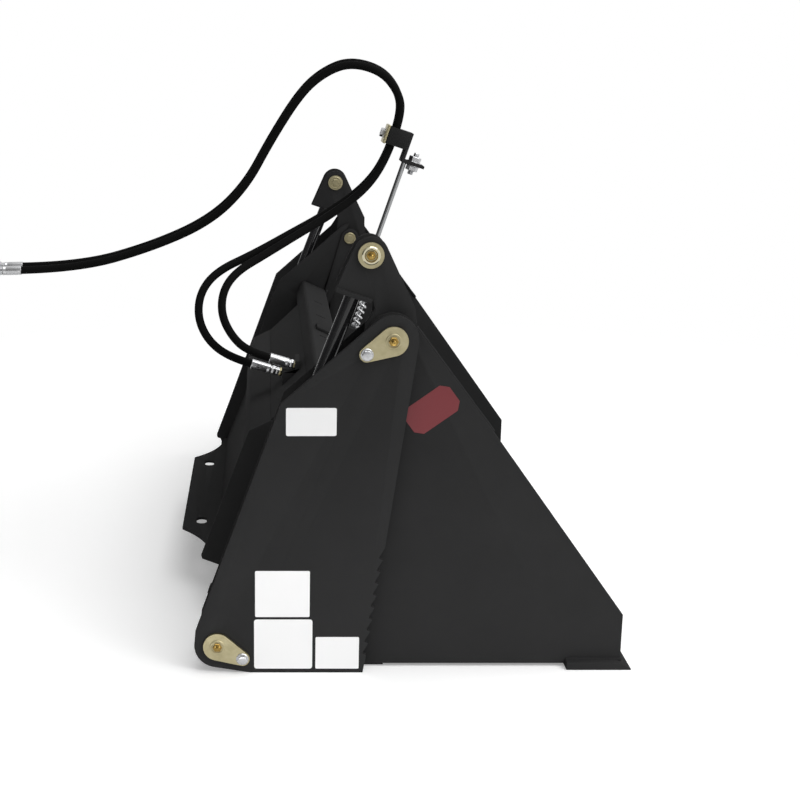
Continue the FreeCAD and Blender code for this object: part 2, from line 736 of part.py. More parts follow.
# Floor, cutting edge and rear lip of the clamshell
clam_floor = plate([(rear_edge_tip_x + lip_gap + lip_bar_width, clam_bottom_z),
                    (rear_edge_tip_x + lip_gap + lip_bar_width, clam_bottom_z + floor_t),
                    (blade_back_x, clam_bottom_z + floor_t), (blade_back_x, clam_bottom_z)],
                   -clam_side_inner, clam_side_inner)
parts["clam_floor"] = clam_floor
blade = plate([(blade_back_x, 0.0), (blade_back_x, blade_t), (blade_flat_x, blade_t),
               (front_tip_x, blade_tip_t), (front_tip_x, 0.0)], -blade_half, blade_half)
parts["clam_cutting_edge"] = blade
lip_back_x = rear_edge_tip_x + lip_gap
lip_bar = plate([(lip_back_x, 0.0), (lip_back_x, lip_bar_t), (lip_back_x + lip_bar_width, lip_bar_t),
                 (lip_back_x + lip_bar_width, 0.0)], -clam_side_inner, clam_side_inner)
parts["clam_rear_lip"] = lip_bar

# Stub pins with round heads in the clevis arms, and plain ones in the inner ears
head_outer_y = clam_side_inner + rod_pin_head_t
inner_head_y = ear_inner - inner_pin_head_t
stub = across(rod_pin_x, rod_pin_z, pin_r, -head_outer_y, -arm_inner)
head = across(rod_pin_x, rod_pin_z, rod_pin_head_r, -head_outer_y, -clam_side_inner)
outer_stub = head.fuse(stub).removeSplitter()
inner_stub = across(rod_pin_x, rod_pin_z, pin_r, -ear_outer, -inner_head_y)
inner_head = across(rod_pin_x, rod_pin_z, pin_r + inner_pin_head_rim, -ear_inner, -inner_head_y)
inner_stub = inner_stub.fuse(inner_head).removeSplitter()
parts["rod_pin_heads"] = Part.makeCompound([outer_stub, inner_stub,
                                            mirrored(outer_stub), mirrored(inner_stub)])

# Cylinders, built along their own line from the base pin to the rod pin
base_point = Vector(base_pin_x, -cylinder_y, base_pin_z)
rod_point = Vector(rod_pin_x, -cylinder_y, rod_pin_z)
cylinder_dir = rod_point.sub(base_point)
cylinder_length = cylinder_dir.Length
cylinder_dir.normalize()


def along(distance):
    return base_point.add(Vector(cylinder_dir).multiply(distance))


eye_low = -cylinder_y - eye_width / 2.0
eye_high = -cylinder_y + eye_width / 2.0
barrel_ports = (barrel_start + port_from_floor, barrel_end - port_from_end)
barrel = rod(along(barrel_start), along(barrel_end), barrel_r)
neck = rod(along(pin_r + barrel_neck_root), along(barrel_start + barrel_neck_lap),
           eye_width / 2.0 - barrel_neck_step)
port_dir = Vector(cylinder_dir.z, 0, -cylinder_dir.x).negative()
ports = []
port_bores = []
for place in barrel_ports:
    seat = along(place).add(Vector(port_dir).multiply(barrel_r - port_lap))
    end = along(place).add(Vector(port_dir).multiply(barrel_r + port_length))
    ports.append(rod(seat, end, port_r))
    bore_root = along(place).add(Vector(port_dir).multiply(barrel_bore_r - port_bore_lap))
    port_bores.append(rod(bore_root, end.add(port_dir), port_bore_r))
base_eye = across(base_pin_x, base_pin_z, eye_r, eye_low, eye_high)
barrel = barrel.fuse(ports + [base_eye, neck]).removeSplitter()
barrel = barrel.cut(across(base_pin_x, base_pin_z, pin_r + running_clearance, eye_low - 1.0, eye_high + 1.0))
barrel = barrel.cut(rod(along(barrel_start + barrel_floor_t), along(barrel_end + 1.0), barrel_bore_r))
barrel = barrel.cut(port_bores[0])
barrel = barrel.cut(port_bores[1])
both_sides("cylinder_barrel", barrel)
gland = rod(along(barrel_end - gland_length + gland_recess), along(barrel_end), barrel_bore_r)
gland = gland.fuse(rod(along(barrel_end), along(barrel_end + gland_cap_t), gland_r)).removeSplitter()
gland = gland.cut(rod(along(barrel_end - gland_length), along(barrel_end + 2.0 * gland_cap_t),
                      rod_r + running_clearance))
both_sides("cylinder_gland", gland)
piston_top = barrel_end - gland_length - piston_stop_gap
rod_eye_low = eye_low + rod_eye_side_gap
rod_eye_high = eye_high - rod_eye_side_gap
shaft = rod(along(piston_top), along(cylinder_length - rod_eye_r + rod_eye_lap), rod_r)
rod_end = across(rod_pin_x, rod_pin_z, rod_eye_r, rod_eye_low, rod_eye_high)
piston_rod = shaft.fuse(rod_end).removeSplitter()
piston_rod = piston_rod.cut(across(rod_pin_x, rod_pin_z, pin_r, rod_eye_low - 1.0, rod_eye_high + 1.0))
both_sides("piston_rod", piston_rod)
piston = rod(along(piston_top - piston_length), along(piston_top), barrel_bore_r - running_clearance)
both_sides("piston", piston)
pin_centre = across(rod_pin_x, rod_pin_z, pin_r, rod_eye_low - rod_pin_centre_overhang,
                    rod_eye_high + rod_pin_centre_overhang)
both_sides("rod_pin_centre", pin_centre)

# Spring hose support, standing on a foot ahead of the tube
support_angle = 90.0 - support_lean_deg


def support_point(up, forward, y=0.0):
    x, z = polar(spring_x, spring_z, up, support_angle)
    x, z = polar(x, z, forward, support_angle - 90.0)
    return Vector(x, y, z)


foot_seat = tube_height / 2.0 + weld_seat
foot_back = tube_point(-tube_width / 2.0 + foot_set_in, foot_seat)
foot_front = tube_point(tube_width / 2.0, foot_seat)
foot_end = support_point(-foot_drop, spring_outer_r + foot_toe_rim)
foot_knee = support_point(-foot_drop, -spring_outer_r - foot_heel_rim)
foot = plate([foot_back, tube_point(-tube_width / 2.0 + foot_set_in, foot_seat + foot_t),
              tube_point(tube_width / 2.0 - foot_knee_run, foot_seat + foot_t),
              (foot_knee.x, foot_knee.z), (foot_end.x, foot_end.z),
              (foot_end.x + foot_toe_run, foot_end.z - foot_t),
              (foot_front[0] + foot_lap_x, foot_front[1] - foot_lap_z), foot_front],
             -foot_width / 2.0, foot_width / 2.0)
parts["support_foot"] = foot
coil_pitch = spring_length / coil_turns
coils = []
for i in range(coil_turns):
    low = support_point(i * coil_pitch + coil_low_gap, 0.0)
    high = support_point((i + 1) * coil_pitch - coil_high_gap, 0.0)
    coils.append(rod(low, high, spring_outer_r))
core = rod(support_point(-core_seat, 0.0), support_point(spring_length, 0.0), spring_outer_r - core_step)
parts["support_spring"] = core.fuse(coils).removeSplitter()


def support_plate(corners, y_low, y_high):
    points = [support_point(up, forward) for up, forward in corners]
    return plate([(p.x, p.z) for p in points], y_low, y_high)


holder_top = support_rod_start + holder_height
holder_front = spring_outer_r + holder_front_rim
holder_back = -support_step - holder_back_rim
rod_seat = support_rod_start + holder_socket
holder = support_plate([(support_rod_start, holder_front), (support_rod_start, holder_back),
                        (holder_top, holder_back), (holder_top, holder_front)], -holder_half, holder_half)
holder = holder.cut(rod(support_point(rod_seat, -support_step),
                        support_point(holder_top + holder_height, -support_step), support_rod_r))
parts["support_holder"] = holder
support_rod = rod(support_point(rod_seat, -support_step),
                  support_point(support_rod_end, -support_step), support_rod_r)
parts["support_rod"] = support_rod

leg_up = support_rod_end + bracket_rise_from_rod
leg_top = leg_up + bracket_t
leg_n = -support_step - bracket_set_back
bracket = support_plate([(leg_up, leg_n), (leg_up + bracket_rise, leg_n),
                         (leg_up + bracket_rise, leg_n + bracket_t), (leg_top, leg_n + bracket_t),
                         (leg_top, bracket_reach), (leg_up, bracket_reach)], -bracket_half, bracket_half)
bracket = bracket.cut(rod(support_point(leg_up - 1.0, 0.0), support_point(leg_top + 1.0, 0.0), bolt_r))
parts["support_bracket"] = bracket
clamp_up = leg_up + clamp_rise
clamp_face = leg_n - clamp_thick
hose_n = leg_n - clamp_thick / 2.0 - hose_set_back
clamp = support_plate([(clamp_up - clamp_half, leg_n), (clamp_up - clamp_half, clamp_face),
                       (clamp_up + clamp_half, clamp_face), (clamp_up + clamp_half, leg_n)],
                      -bracket_half, bracket_half)
for y in (-hose_pitch / 2.0, hose_pitch / 2.0):
    clamp = clamp.cut(rod(support_point(clamp_up - 2.0 * clamp_half, hose_n, y),
                          support_point(clamp_up + 2.0 * clamp_half, hose_n, y), hose_r + weld_seat))
parts["hose_clamp"] = clamp
cap_face = clamp_face - cap_t
cap = support_plate([(clamp_up - cap_half, clamp_face), (clamp_up - cap_half, cap_face),
                     (clamp_up + cap_half, cap_face), (clamp_up + cap_half, clamp_face)],
                    -bracket_half + cap_inset, bracket_half - cap_inset)
cap_bolt = rod(support_point(clamp_up, cap_face),
               support_point(clamp_up, clamp_face - cap_bolt_reach), bolt_head_r)
parts["clamp_plate"] = cap.fuse(cap_bolt).removeSplitter()
support_bolt = rod(support_point(leg_up - bracket_bolt_reach, 0.0),
                   support_point(leg_top + bracket_bolt_reach, 0.0), bolt_r)
low_nut = rod(support_point(leg_up - nut_t, 0.0), support_point(leg_up, 0.0), nut_r)
high_nut = rod(support_point(leg_top, 0.0), support_point(leg_top + nut_t, 0.0), nut_r)
parts["support_bolt"] = support_bolt.fuse([low_nut, high_nut]).removeSplitter()


def cover_height(x):
    return cover_low[1] + (x - cover_low[0]) * slope_z / slope_x + weld_seat


# Port block, stepped to sit on the sloping cover behind the cross tube
port_a_x = cover_high[0] - port_set_back
port_a_z = cover_height(port_a_x) + port_a_rise
port_b_z = port_a_z + port_step_z
block_mid_x = port_a_x + port_step_x
block_front_x = cover_high[0] - port_front_gap
block_step_z = (port_a_z + port_b_z) / 2.0
block_top_z = port_b_z + port_block_rise
port_block = plate([(port_a_x, cover_height(port_a_x)), (port_a_x, block_step_z), (block_mid_x, block_step_z),
                    (block_mid_x, block_top_z), (block_front_x, block_top_z),
                    (block_front_x, cover_height(block_front_x))],
                   port_y - port_block_half, port_y + port_block_half)
parts["port_block"] = port_block


# Each hose is straight runs joined by tangent arcs, as large as its runs allow.
def hose_path(points):
    points = [Vector(*p) for p in points]
    edges = []
    radii = []
    last = points[0]
    for before, here, after in zip(points, points[1:], points[2:]):
        a = before.sub(here)
        b = after.sub(here)
        half = a.getAngle(b) / 2.0
        setback = 0.45 * min(a.Length, b.Length)
        radius = setback * math.tan(half)
        radii.append(radius)
        first = here.add(Vector(a).normalize().multiply(setback))
        second = here.add(Vector(b).normalize().multiply(setback))
        inward = Vector(a).normalize().add(Vector(b).normalize()).normalize()
        middle = here.add(inward.multiply(radius / math.sin(half) - radius))
        if first.sub(last).Length > 1e-6:
            edges.append(Part.LineSegment(last, first).toShape())
        edges.append(Part.Arc(first, middle, second).toShape())
        last = second
    edges.append(Part.LineSegment(last, points[-1]).toShape())
    wire = Part.Wire(edges)
    return wire, radii


def hose(points):
    wire, radii = hose_path(points)
    start = Vector(*points[0])
    direction = Vector(*points[1]).sub(start)
    section = Part.Wire(Part.makeCircle(hose_r, start, direction))
    tube = wire.makePipeShell([section], True, False)
    expected = math.pi * hose_r ** 2 * wire.Length
    print("hose of", round(wire.Length), "mm, radii", [round(radius) for radius in radii],
          "volume ratio", round(tube.Volume / expected, 4))
    return tube


# The routes are points chosen along the hoses, from the port block round to the loader's couplers.
clamp_low = support_point(clamp_up - clamp_run_low, hose_n)
clamp_high = support_point(clamp_up + clamp_run_high, hose_n)
far_y = hose_pitch / 2.0
near_y = -hose_pitch / 2.0
fitting_dir = Vector(-math.cos(math.radians(fitting_rise_deg)), 0, math.sin(math.radians(fitting_rise_deg)))
port_a = Vector(port_a_x, port_y + port_pitch / 2.0, port_a_z)
port_b = Vector(block_mid_x, port_y - port_pitch / 2.0, port_b_z)


def fitting_end(port, adapter):
    """Where the hose leaves its ferrule, and the next point of its route."""
    start = port.add(Vector(fitting_dir).multiply(adapter + ferrule_length))
    return [tuple(start), tuple(start.add(Vector(fitting_dir).multiply(hose_lead)))]


arch = [(45.2, 1302.5), (-1.0, 1355.5), (-85.9, 1377.6), (-155.7, 1351.6), (-219.8, 1297.1), (-301.5, 1170.1),
        (-371.0, 1042.2), (-472.4, 944.9)]
hose_a = fitting_end(port_a, adapter_a) + [
    (-470.0, -251.0, 652.0), (-499.0, -236.0, 714.0), (-491.0, -212.0, 780.0), (-446.0, -178.0, 830.0),
    (-350.0, -126.0, 868.0), (-250.0, -78.0, 917.0), (-150.0, -34.0, 966.0), (-48.0, 4.0, 1031.0),
    (clamp_low.x, far_y, clamp_low.z), (clamp_high.x, far_y, clamp_high.z)]
hose_a += [(x, far_y, z + hose_arch_offset) for x, z in arch]
hose_a += [(-634.7, tail_half_pitch, 874.2), (-839.3, tail_half_pitch, 816.0),
           (-1005.5, coupler_half_pitch, 812.0)]
hose_b = fitting_end(port_b, adapter_b) + [
    (-406.0, -287.0, 672.0), (-434.0, -272.0, 728.0), (-430.0, -249.0, 788.0), (-394.0, -214.0, 834.0),
    (-318.0, -164.0, 872.0), (-232.0, -114.0, 918.0), (-140.0, -66.0, 966.0), (-45.0, -28.0, 1028.0),
    (clamp_low.x, near_y, clamp_low.z), (clamp_high.x, near_y, clamp_high.z)]
hose_b += [(x, near_y, z - hose_arch_offset) for x, z in arch]
hose_b += [(-634.7, -tail_half_pitch, 870.2), (-839.3, -tail_half_pitch, 811.0),
           (-1003.5, -coupler_half_pitch, 807.0)]

for name, route, port, adapter in (("a", hose_a, port_a, adapter_a), ("b", hose_b, port_b, adapter_b)):
    parts["hose_" + name] = hose(route)
    start = Vector(*route[0])
    seat = port.add(Vector(fitting_dir).multiply(adapter))
    ferrule = rod(seat, start, ferrule_r)
    neck = rod(port.sub(Vector(fitting_dir).multiply(adapter_root)), seat, bolt_r + adapter_rim)
    nut = rod(port.add(Vector(fitting_dir).multiply(adapter_nut_gap)), seat, nut_r)
    ahead = Part.makeBox(block_trim_run, overall_width, 2.0 * block_trim_rise,
                         Vector(port.x, -side_outer_y, port.z - block_trim_rise))
    parts["hose_fitting_" + name] = ferrule.fuse([neck, nut]).removeSplitter().cut(ahead)
    end = Vector(*route[-1])
    outwards = end.sub(Vector(*route[-2])).normalize()
    tail = end.add(Vector(outwards).multiply(ferrule_length))
    body = rod(tail, tail.add(Vector(outwards).multiply(coupler_length)), coupler_r)
    parts["coupler_" + name] = rod(end, tail, ferrule_r).fuse(body).removeSplitter()

for name in sorted(parts):
    shape = parts[name]
    print(name, len(shape.Solids), "valid" if shape.isValid() else "INVALID", round(shape.Volume / 1000.0, 1))

os.makedirs("parts", exist_ok=True)
for name, shape in parts.items():
    shape.exportStep("parts/" + name + ".step")
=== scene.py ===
# %% [markdown]
# A four-in-one bucket for a skid-steer loader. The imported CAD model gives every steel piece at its
# place. This file dresses it: rounded plate edges, weld beads, fasteners, the hose support's spring,
# the hoses with their plated ends, blank labels, and a finish for every surface.

# %% Load the frame
import json
import math
import bmesh
import bpy
from mathutils import Matrix, Vector


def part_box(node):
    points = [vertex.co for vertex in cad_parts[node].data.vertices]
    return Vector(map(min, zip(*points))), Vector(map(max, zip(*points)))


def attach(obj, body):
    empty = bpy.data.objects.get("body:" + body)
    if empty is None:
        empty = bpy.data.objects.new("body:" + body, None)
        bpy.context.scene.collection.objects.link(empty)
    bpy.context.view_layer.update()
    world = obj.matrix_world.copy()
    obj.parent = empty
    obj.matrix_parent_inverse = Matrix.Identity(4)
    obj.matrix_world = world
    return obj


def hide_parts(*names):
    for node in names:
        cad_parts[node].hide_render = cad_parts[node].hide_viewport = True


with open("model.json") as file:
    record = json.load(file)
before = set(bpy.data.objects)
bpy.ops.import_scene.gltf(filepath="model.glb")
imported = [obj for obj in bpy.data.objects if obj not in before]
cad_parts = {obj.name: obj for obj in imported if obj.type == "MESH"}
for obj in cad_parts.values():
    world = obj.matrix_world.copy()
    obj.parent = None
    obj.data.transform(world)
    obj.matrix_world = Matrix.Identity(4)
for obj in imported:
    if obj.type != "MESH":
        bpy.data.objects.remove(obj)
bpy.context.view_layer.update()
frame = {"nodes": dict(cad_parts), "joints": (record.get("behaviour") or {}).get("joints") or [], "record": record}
nodes = frame["nodes"]
joint_places = {joint["name"]: joint.get("pos_m") for joint in frame["joints"]}
scene = bpy.context.scene
scene.view_settings.view_transform = "Standard"
print("loaded", len(nodes), "CAD nodes")


def middle(node):
    low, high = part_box(node)
    return (Vector(low) + Vector(high)) / 2.0


# Places that several pieces share, in metres, read from the frame
hinge = Vector(joint_places["clam_hinge"])
base_pin = Vector(joint_places["barrel_swing_right"])
rod_pin = middle("rod_pin_heads")
side_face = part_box("side_plate_left")[1][1]
clam_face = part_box("clam_side_left")[1][1]
print("side plates' outer faces at", round(side_face, 4), "clamshell's at", round(clam_face, 4))

# %% [markdown]
# The photograph was taken square to the side plate and a little from above, with the object to the left
# of the lens's axis. The camera stands level across, tilts down, and its shift moves the picture
# sideways without turning the camera.

# %% Camera
camera_data = bpy.data.cameras.new("camera")
camera_data.sensor_width = 36.0
camera_data.lens = 63.0
camera_data.shift_x = 0.1656
camera_data.clip_end = 60.0
camera = bpy.data.objects.new("camera", camera_data)
camera_tilt_deg = 14.267
camera_distance = 3.015
camera.location = (-0.311, -side_face - camera_distance, 1.424)
camera.rotation_euler = (math.radians(90.0 - camera_tilt_deg), 0.0, 0.0)
scene.collection.objects.link(camera)
scene.camera = camera

# %% [markdown]
# Node trees for shaders and for geometry have the same parts: nodes, settings, sockets and links. One
# small class makes nodes, and a second one wraps a socket so that arithmetic can be written as Python.

# %% Node helpers


class Wire:
    """An output socket that takes Python's arithmetic."""

    def __init__(self, tree, socket):
        self.tree = tree
        self.socket = socket

    def math(self, operation, first, second):
        return self.tree.node("ShaderNodeMath", {"operation": operation}, {0: first, 1: second})

    def __add__(self, other):
        return self.math("ADD", self, other)

    def __sub__(self, other):
        return self.math("SUBTRACT", self, other)

    def __mul__(self, other):
        return self.math("MULTIPLY", self, other)

    def clamped(self):
        return self.tree.node("ShaderNodeClamp", {}, {"Value": self})

    __radd__ = __add__
    __rmul__ = __mul__


class Tree:
    """A node tree that makes a node from its type, its settings and what its sockets get."""

    def __init__(self, tree):
        self.tree = tree

    def node(self, kind, settings, sockets, output=0):
        made = self.tree.nodes.new(kind)
        for name, value in settings.items():
            if name == "stops":
                elements = made.color_ramp.elements
                for element, (place, colour) in zip(elements, value):
                    element.position = place
                    element.color = (*colour, 1.0)
                for place, colour in value[2:]:
                    elements.new(place).color = (*colour, 1.0)
            else:
                setattr(made, name, value)
        for key, value in sockets.items():
            if isinstance(value, Wire):
                self.tree.links.new(value.socket, made.inputs[key])
            else:
                made.inputs[key].default_value = value
        if len(made.outputs) == 0:
            return None
        return Wire(self, made.outputs[output])


# %% [markdown]
# A finish is a Principled shader whose colour, roughness and normal vary a little over the surface.
# Everything reads Object coordinates, which are metres here, so a noise scale is in cycles a metre.

# %% Finish helper


def finish(name, colour, roughness, metallic=0.0, build=None, **fixed):
    """A material. build(tree, place) returns what varies, as a dict of Principled sockets."""
    material = bpy.data.materials.new(name)
    material.use_nodes = True
    material.node_tree.nodes.clear()
    tree = Tree(material.node_tree)
    place = tree.node("ShaderNodeTexCoord", {}, {}, output=3)
    sockets = {"Base Color": (*colour, 1.0), "Roughness": roughness, "Metallic": metallic}
    sockets.update(fixed)
    if build is not None:
        sockets.update(build(tree, place))
    shader = tree.node("ShaderNodeBsdfPrincipled", {}, sockets)
    tree.node("ShaderNodeOutputMaterial", {}, {"Surface": shader})
    material.diffuse_color = (*colour, 1.0)
    return material


def noise(tree, place, scale, detail=2.0, roughness=0.5):
    return tree.node("ShaderNodeTexNoise", {}, {"Vector": place, "Scale": scale, "Detail": detail,
                                                "Roughness": roughness})


def blended(tree, amount, first, second):
    """A colour between two colours."""
    return tree.node("ShaderNodeMix", {"data_type": "RGBA"}, {"Factor": amount, 6: (*first, 1.0),
                                                              7: (*second, 1.0)}, output=2)


def bumped(tree, height, strength, distance):
    return tree.node("ShaderNodeBump", {}, {"Height": height, "Strength": strength, "Distance": distance})


# %% [markdown]
# Powder coat is baked polymer powder. This one sets to a nearly matte skin with a faint orange peel a few
# millimetres across, and it stays a little rougher where the powder lay thin.

# %% Powder coat


def powder_coat(tree, place):
    peel = noise(tree, place, 420.0, 3.0)
    drift = noise(tree, place, 5.0, 4.0, 0.6)
    grain = noise(tree, place, 2600.0, 1.0)
    return {
        "Base Color": blended(tree, drift, (0.0240, 0.0240, 0.0243), (0.0320, 0.0320, 0.0323)),
        "Roughness": 0.70 + drift * 0.14 + grain * 0.04,
        "Normal": bumped(tree, peel, 0.18, 0.0004),
    }


black_paint = finish("black_powder_coat", (0.028, 0.028, 0.028), 0.75, build=powder_coat,
                     **{"Specular IOR Level": 0.012})

# %% [markdown]
# Yellow zinc plate is a thin metal film with a chromate skin. Its colour wanders between straw and
# olive, because the skin's thickness does.

# %% Plated finishes


def yellow_zinc(tree, place):
    cloud = noise(tree, place, 38.0, 3.0, 0.6)
    stops = [(0.32, (0.40, 0.355, 0.215)), (0.68, (0.50, 0.45, 0.285)), (0.5, (0.46, 0.41, 0.25))]
    tint = tree.node("ShaderNodeValToRGB", {"stops": stops}, {"Fac": cloud})
    fine = noise(tree, place, 900.0, 2.0)
    return {
        "Base Color": tint,
        "Roughness": 0.30 + cloud * 0.14,
        "Normal": bumped(tree, fine, 0.06, 0.0003),
    }


def bright_zinc(tree, place):
    cloud = noise(tree, place, 60.0, 2.0)
    fine = noise(tree, place, 1200.0, 2.0)
    return {
        "Base Color": blended(tree, cloud, (0.52, 0.53, 0.55), (0.64, 0.64, 0.64)),
        "Roughness": 0.22 + cloud * 0.10 + fine * 0.02,
    }


def polished(tree, place):
    haze = noise(tree, place, 25.0, 3.0)
    return {"Roughness": 0.09 + haze * 0.08}


def machined_steel(tree, place):
    lay = noise(tree, place, 700.0, 2.0)
    return {
        "Roughness": 0.34 + lay * 0.10,
        "Normal": bumped(tree, lay, 0.08, 0.0002),
    }


zinc_yellow = finish("yellow_zinc_plate", (0.46, 0.41, 0.25), 0.35, 1.0, yellow_zinc)
zinc_polished = finish("turned_zinc_plate", (0.70, 0.66, 0.48), 0.12, 1.0, polished)
zinc_bright = finish("bright_zinc_plate", (0.56, 0.56, 0.57), 0.2, 1.0, bright_zinc)
chrome = finish("hard_chrome", (0.34, 0.345, 0.35), 0.1, 1.0, polished)
nitrided = finish("nitrided_black", (0.012, 0.012, 0.013), 0.2, build=polished,
                  **{"Specular IOR Level": 0.6})
bare_steel = finish("machined_steel", (0.42, 0.42, 0.42), 0.38, 1.0, machined_steel)
bronze = finish("bearing_bronze", (0.52, 0.33, 0.13), 0.35, 1.0, machined_steel)
brass = finish("nipple_brass", (0.36, 0.24, 0.07), 0.22, 1.0, polished)

# %% [markdown]
# The hose cover is rubber cured under a wrap of cloth, which leaves a fine weave and a dull sheen. The
# clamp block is moulded plastic with a spark-eroded grain.

# %% Rubber, plastic and vinyl


def wrapped_rubber(tree, place):
    weave = noise(tree, place, 1500.0, 2.0)
    smudge = noise(tree, place, 22.0, 3.0)
    return {
        "Base Color": blended(tree, smudge, (0.0040, 0.0040, 0.0040), (0.0070, 0.0070, 0.0068)),
        "Roughness": 0.62 + smudge * 0.18,
        "Normal": bumped(tree, weave, 0.16, 0.0003),
    }


def moulded(tree, place):
    grain = noise(tree, place, 1900.0, 2.0)
    return {
        "Roughness": 0.44 + grain * 0.10,
        "Normal": bumped(tree, grain, 0.15, 0.0002),
    }


def vinyl(tree, place):
    cloud = noise(tree, place, 16.0, 2.0)
    return {"Roughness": 0.30 + cloud * 0.10}


hose_rubber = finish("hose_cover", (0.0055, 0.0055, 0.0055), 0.5, build=wrapped_rubber,
                     **{"Specular IOR Level": 0.03})
black_plastic = finish("moulded_black", (0.016, 0.016, 0.016), 0.5, build=moulded,
                       **{"Specular IOR Level": 0.10})
white_vinyl = finish("white_label", (0.84, 0.84, 0.84), 0.35, build=vinyl)
red_vinyl = finish("red_label", (0.155, 0.014, 0.019), 0.35, build=vinyl)

# %% Give every CAD node its finish
slot_finish = {
    "black_paint": black_paint,
    "zinc_yellow": zinc_yellow,
    "nitrided_rod": nitrided,
    "bright_steel": zinc_bright,
    "bare_steel": bare_steel,
    "hose_rubber": hose_rubber,
    "black_plastic": black_plastic,
    "bronze": bronze,
}
node_slot = {part["node"]: part["material_slot"] for part in frame["record"]["subparts"]}
for name, piece in nodes.items():
    piece.data.materials.clear()
    piece.data.materials.append(chrome if name == "support_rod" else slot_finish[node_slot[name]])
print("finishes on", len(nodes), "nodes")

# %% [markdown]
# Cut plate is never knife-edged: the coat rounds over each corner, and that line of light is what the
# eye reads as a thick plate. Each plate is a merged copy of its CAD mesh with a small bevel.

# %% Rounded edges on the plates


def piece_from(name, mesh, body, material):
    """An object at the origin that rides on a body and has one finish."""
    made = bpy.data.objects.new(name, mesh)
    scene.collection.objects.link(made)
    mesh.materials.clear()
    mesh.materials.append(material)
    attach(made, body)
    return made


def smooth_under(mesh, angle_deg):
    mesh.polygons.foreach_set("use_smooth", [True] * len(mesh.polygons))
    mesh.set_sharp_from_angle(angle=math.radians(angle_deg))


def body_of(node):
    for body, members in frame["record"]["behaviour"]["bodies"].items():
        if node in members:
            return body
    return None


def eased(node, radius):
    """A copy of a plate with rounded edges, which stands for its CAD node."""
    mesh = nodes[node].data.copy()
    form = bmesh.new()
    form.from_mesh(mesh)
    bmesh.ops.remove_doubles(form, verts=form.verts, dist=0.00001)
    bmesh.ops.dissolve_limit(form, angle_limit=math.radians(0.5), verts=form.verts, edges=form.edges)
    sharp = [edge for edge in form.edges if len(edge.link_faces) == 2
             and edge.calc_face_angle() > math.radians(32.0)]
    bmesh.ops.bevel(form, geom=sharp, offset=radius, segments=2, profile=0.5, affect="EDGES",
                    clamp_overlap=True)
    form.to_mesh(mesh)
    form.free()
    smooth_under(mesh, 30.0)
    made = piece_from("eased_" + node, mesh, body_of(node), slot_finish[node_slot[node]])
    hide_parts(node)
    return made


plate_edges = {
    "side_plate_right": 0.0012, "side_plate_left": 0.0012, "clam_side_right": 0.001,
    "clam_side_left": 0.001, "clam_arm_right": 0.0012, "clam_arm_left": 0.0012,
    "clevis_ear_right": 0.0012, "clevis_ear_left": 0.0012, "hinge_ears": 0.0012,
    "attach_plate": 0.001, "attach_end_plates": 0.001, "attach_ribs": 0.001,
    "clam_cutting_edge": 0.0008, "rear_cutting_edge": 0.0008, "clam_rear_lip": 0.0008,
    "clam_floor": 0.0008, "cylinder_lugs": 0.001, "inner_side_plates": 0.001,
    "support_bracket": 0.0008, "support_foot": 0.0008, "support_holder": 0.001,
    "hose_clamp": 0.0015, "port_block": 0.0012,
}
for node, radius in plate_edges.items():
    made = eased(node, radius)
print("eased", len(plate_edges), "plates; the last has", len(made.data.polygons), "faces")

# %% [markdown]
# Turned parts, such as ferrules, pins and grease nipples, are one outline swept round an axis. The
# outline is a list of stations along the axis with a radius at each. A hexagon is the same sweep with six
# sides.

# %% Turned parts


def turned_mesh(name, stations, sides=40):
    """A closed mesh along +Z from stations of (distance, radius)."""
    mesh = bpy.data.meshes.new(name)
    form = bmesh.new()
    rings = []
    for distance, radius in stations:
        ring = []
        for step in range(sides):
            angle = 2.0 * math.pi * step / sides
            ring.append(form.verts.new((radius * math.cos(angle), radius * math.sin(angle), distance)))
        rings.append(ring)
    for lower, upper in zip(rings, rings[1:]):
        for step in range(sides):
            ahead = (step + 1) % sides
            form.faces.new((lower[step], lower[ahead], upper[ahead], upper[step]))
    form.faces.new(list(reversed(rings[0])))
    form.faces.new(rings[-1])
    form.to_mesh(mesh)
    form.free()
    smooth_under(mesh, 32.0)
    return mesh


def joined_mesh(name, meshes):
    """One mesh from several, each already at its place."""
    form = bmesh.new()
    for mesh in meshes:
        form.from_mesh(mesh)
        bpy.data.meshes.remove(mesh)
    whole = bpy.data.meshes.new(name)
    form.to_mesh(whole)
    form.free()
    smooth_under(whole, 32.0)
    return whole


def aimed(mesh, start, direction):
    """Moves a mesh made along +Z so that it starts at a point and runs in a direction."""
    turn = Vector(direction).to_track_quat("Z", "X").to_matrix().to_4x4()
    mesh.transform(Matrix.Translation(Vector(start)) @ turn)
    return mesh


# %% [markdown]
# Bolts, washers and grease nipples repeat. A Geometry Nodes tree puts a copy of a pattern on each point of a
# small mesh and turns it by that point's own angle, and the result is made a plain mesh.

# %% Copies on points


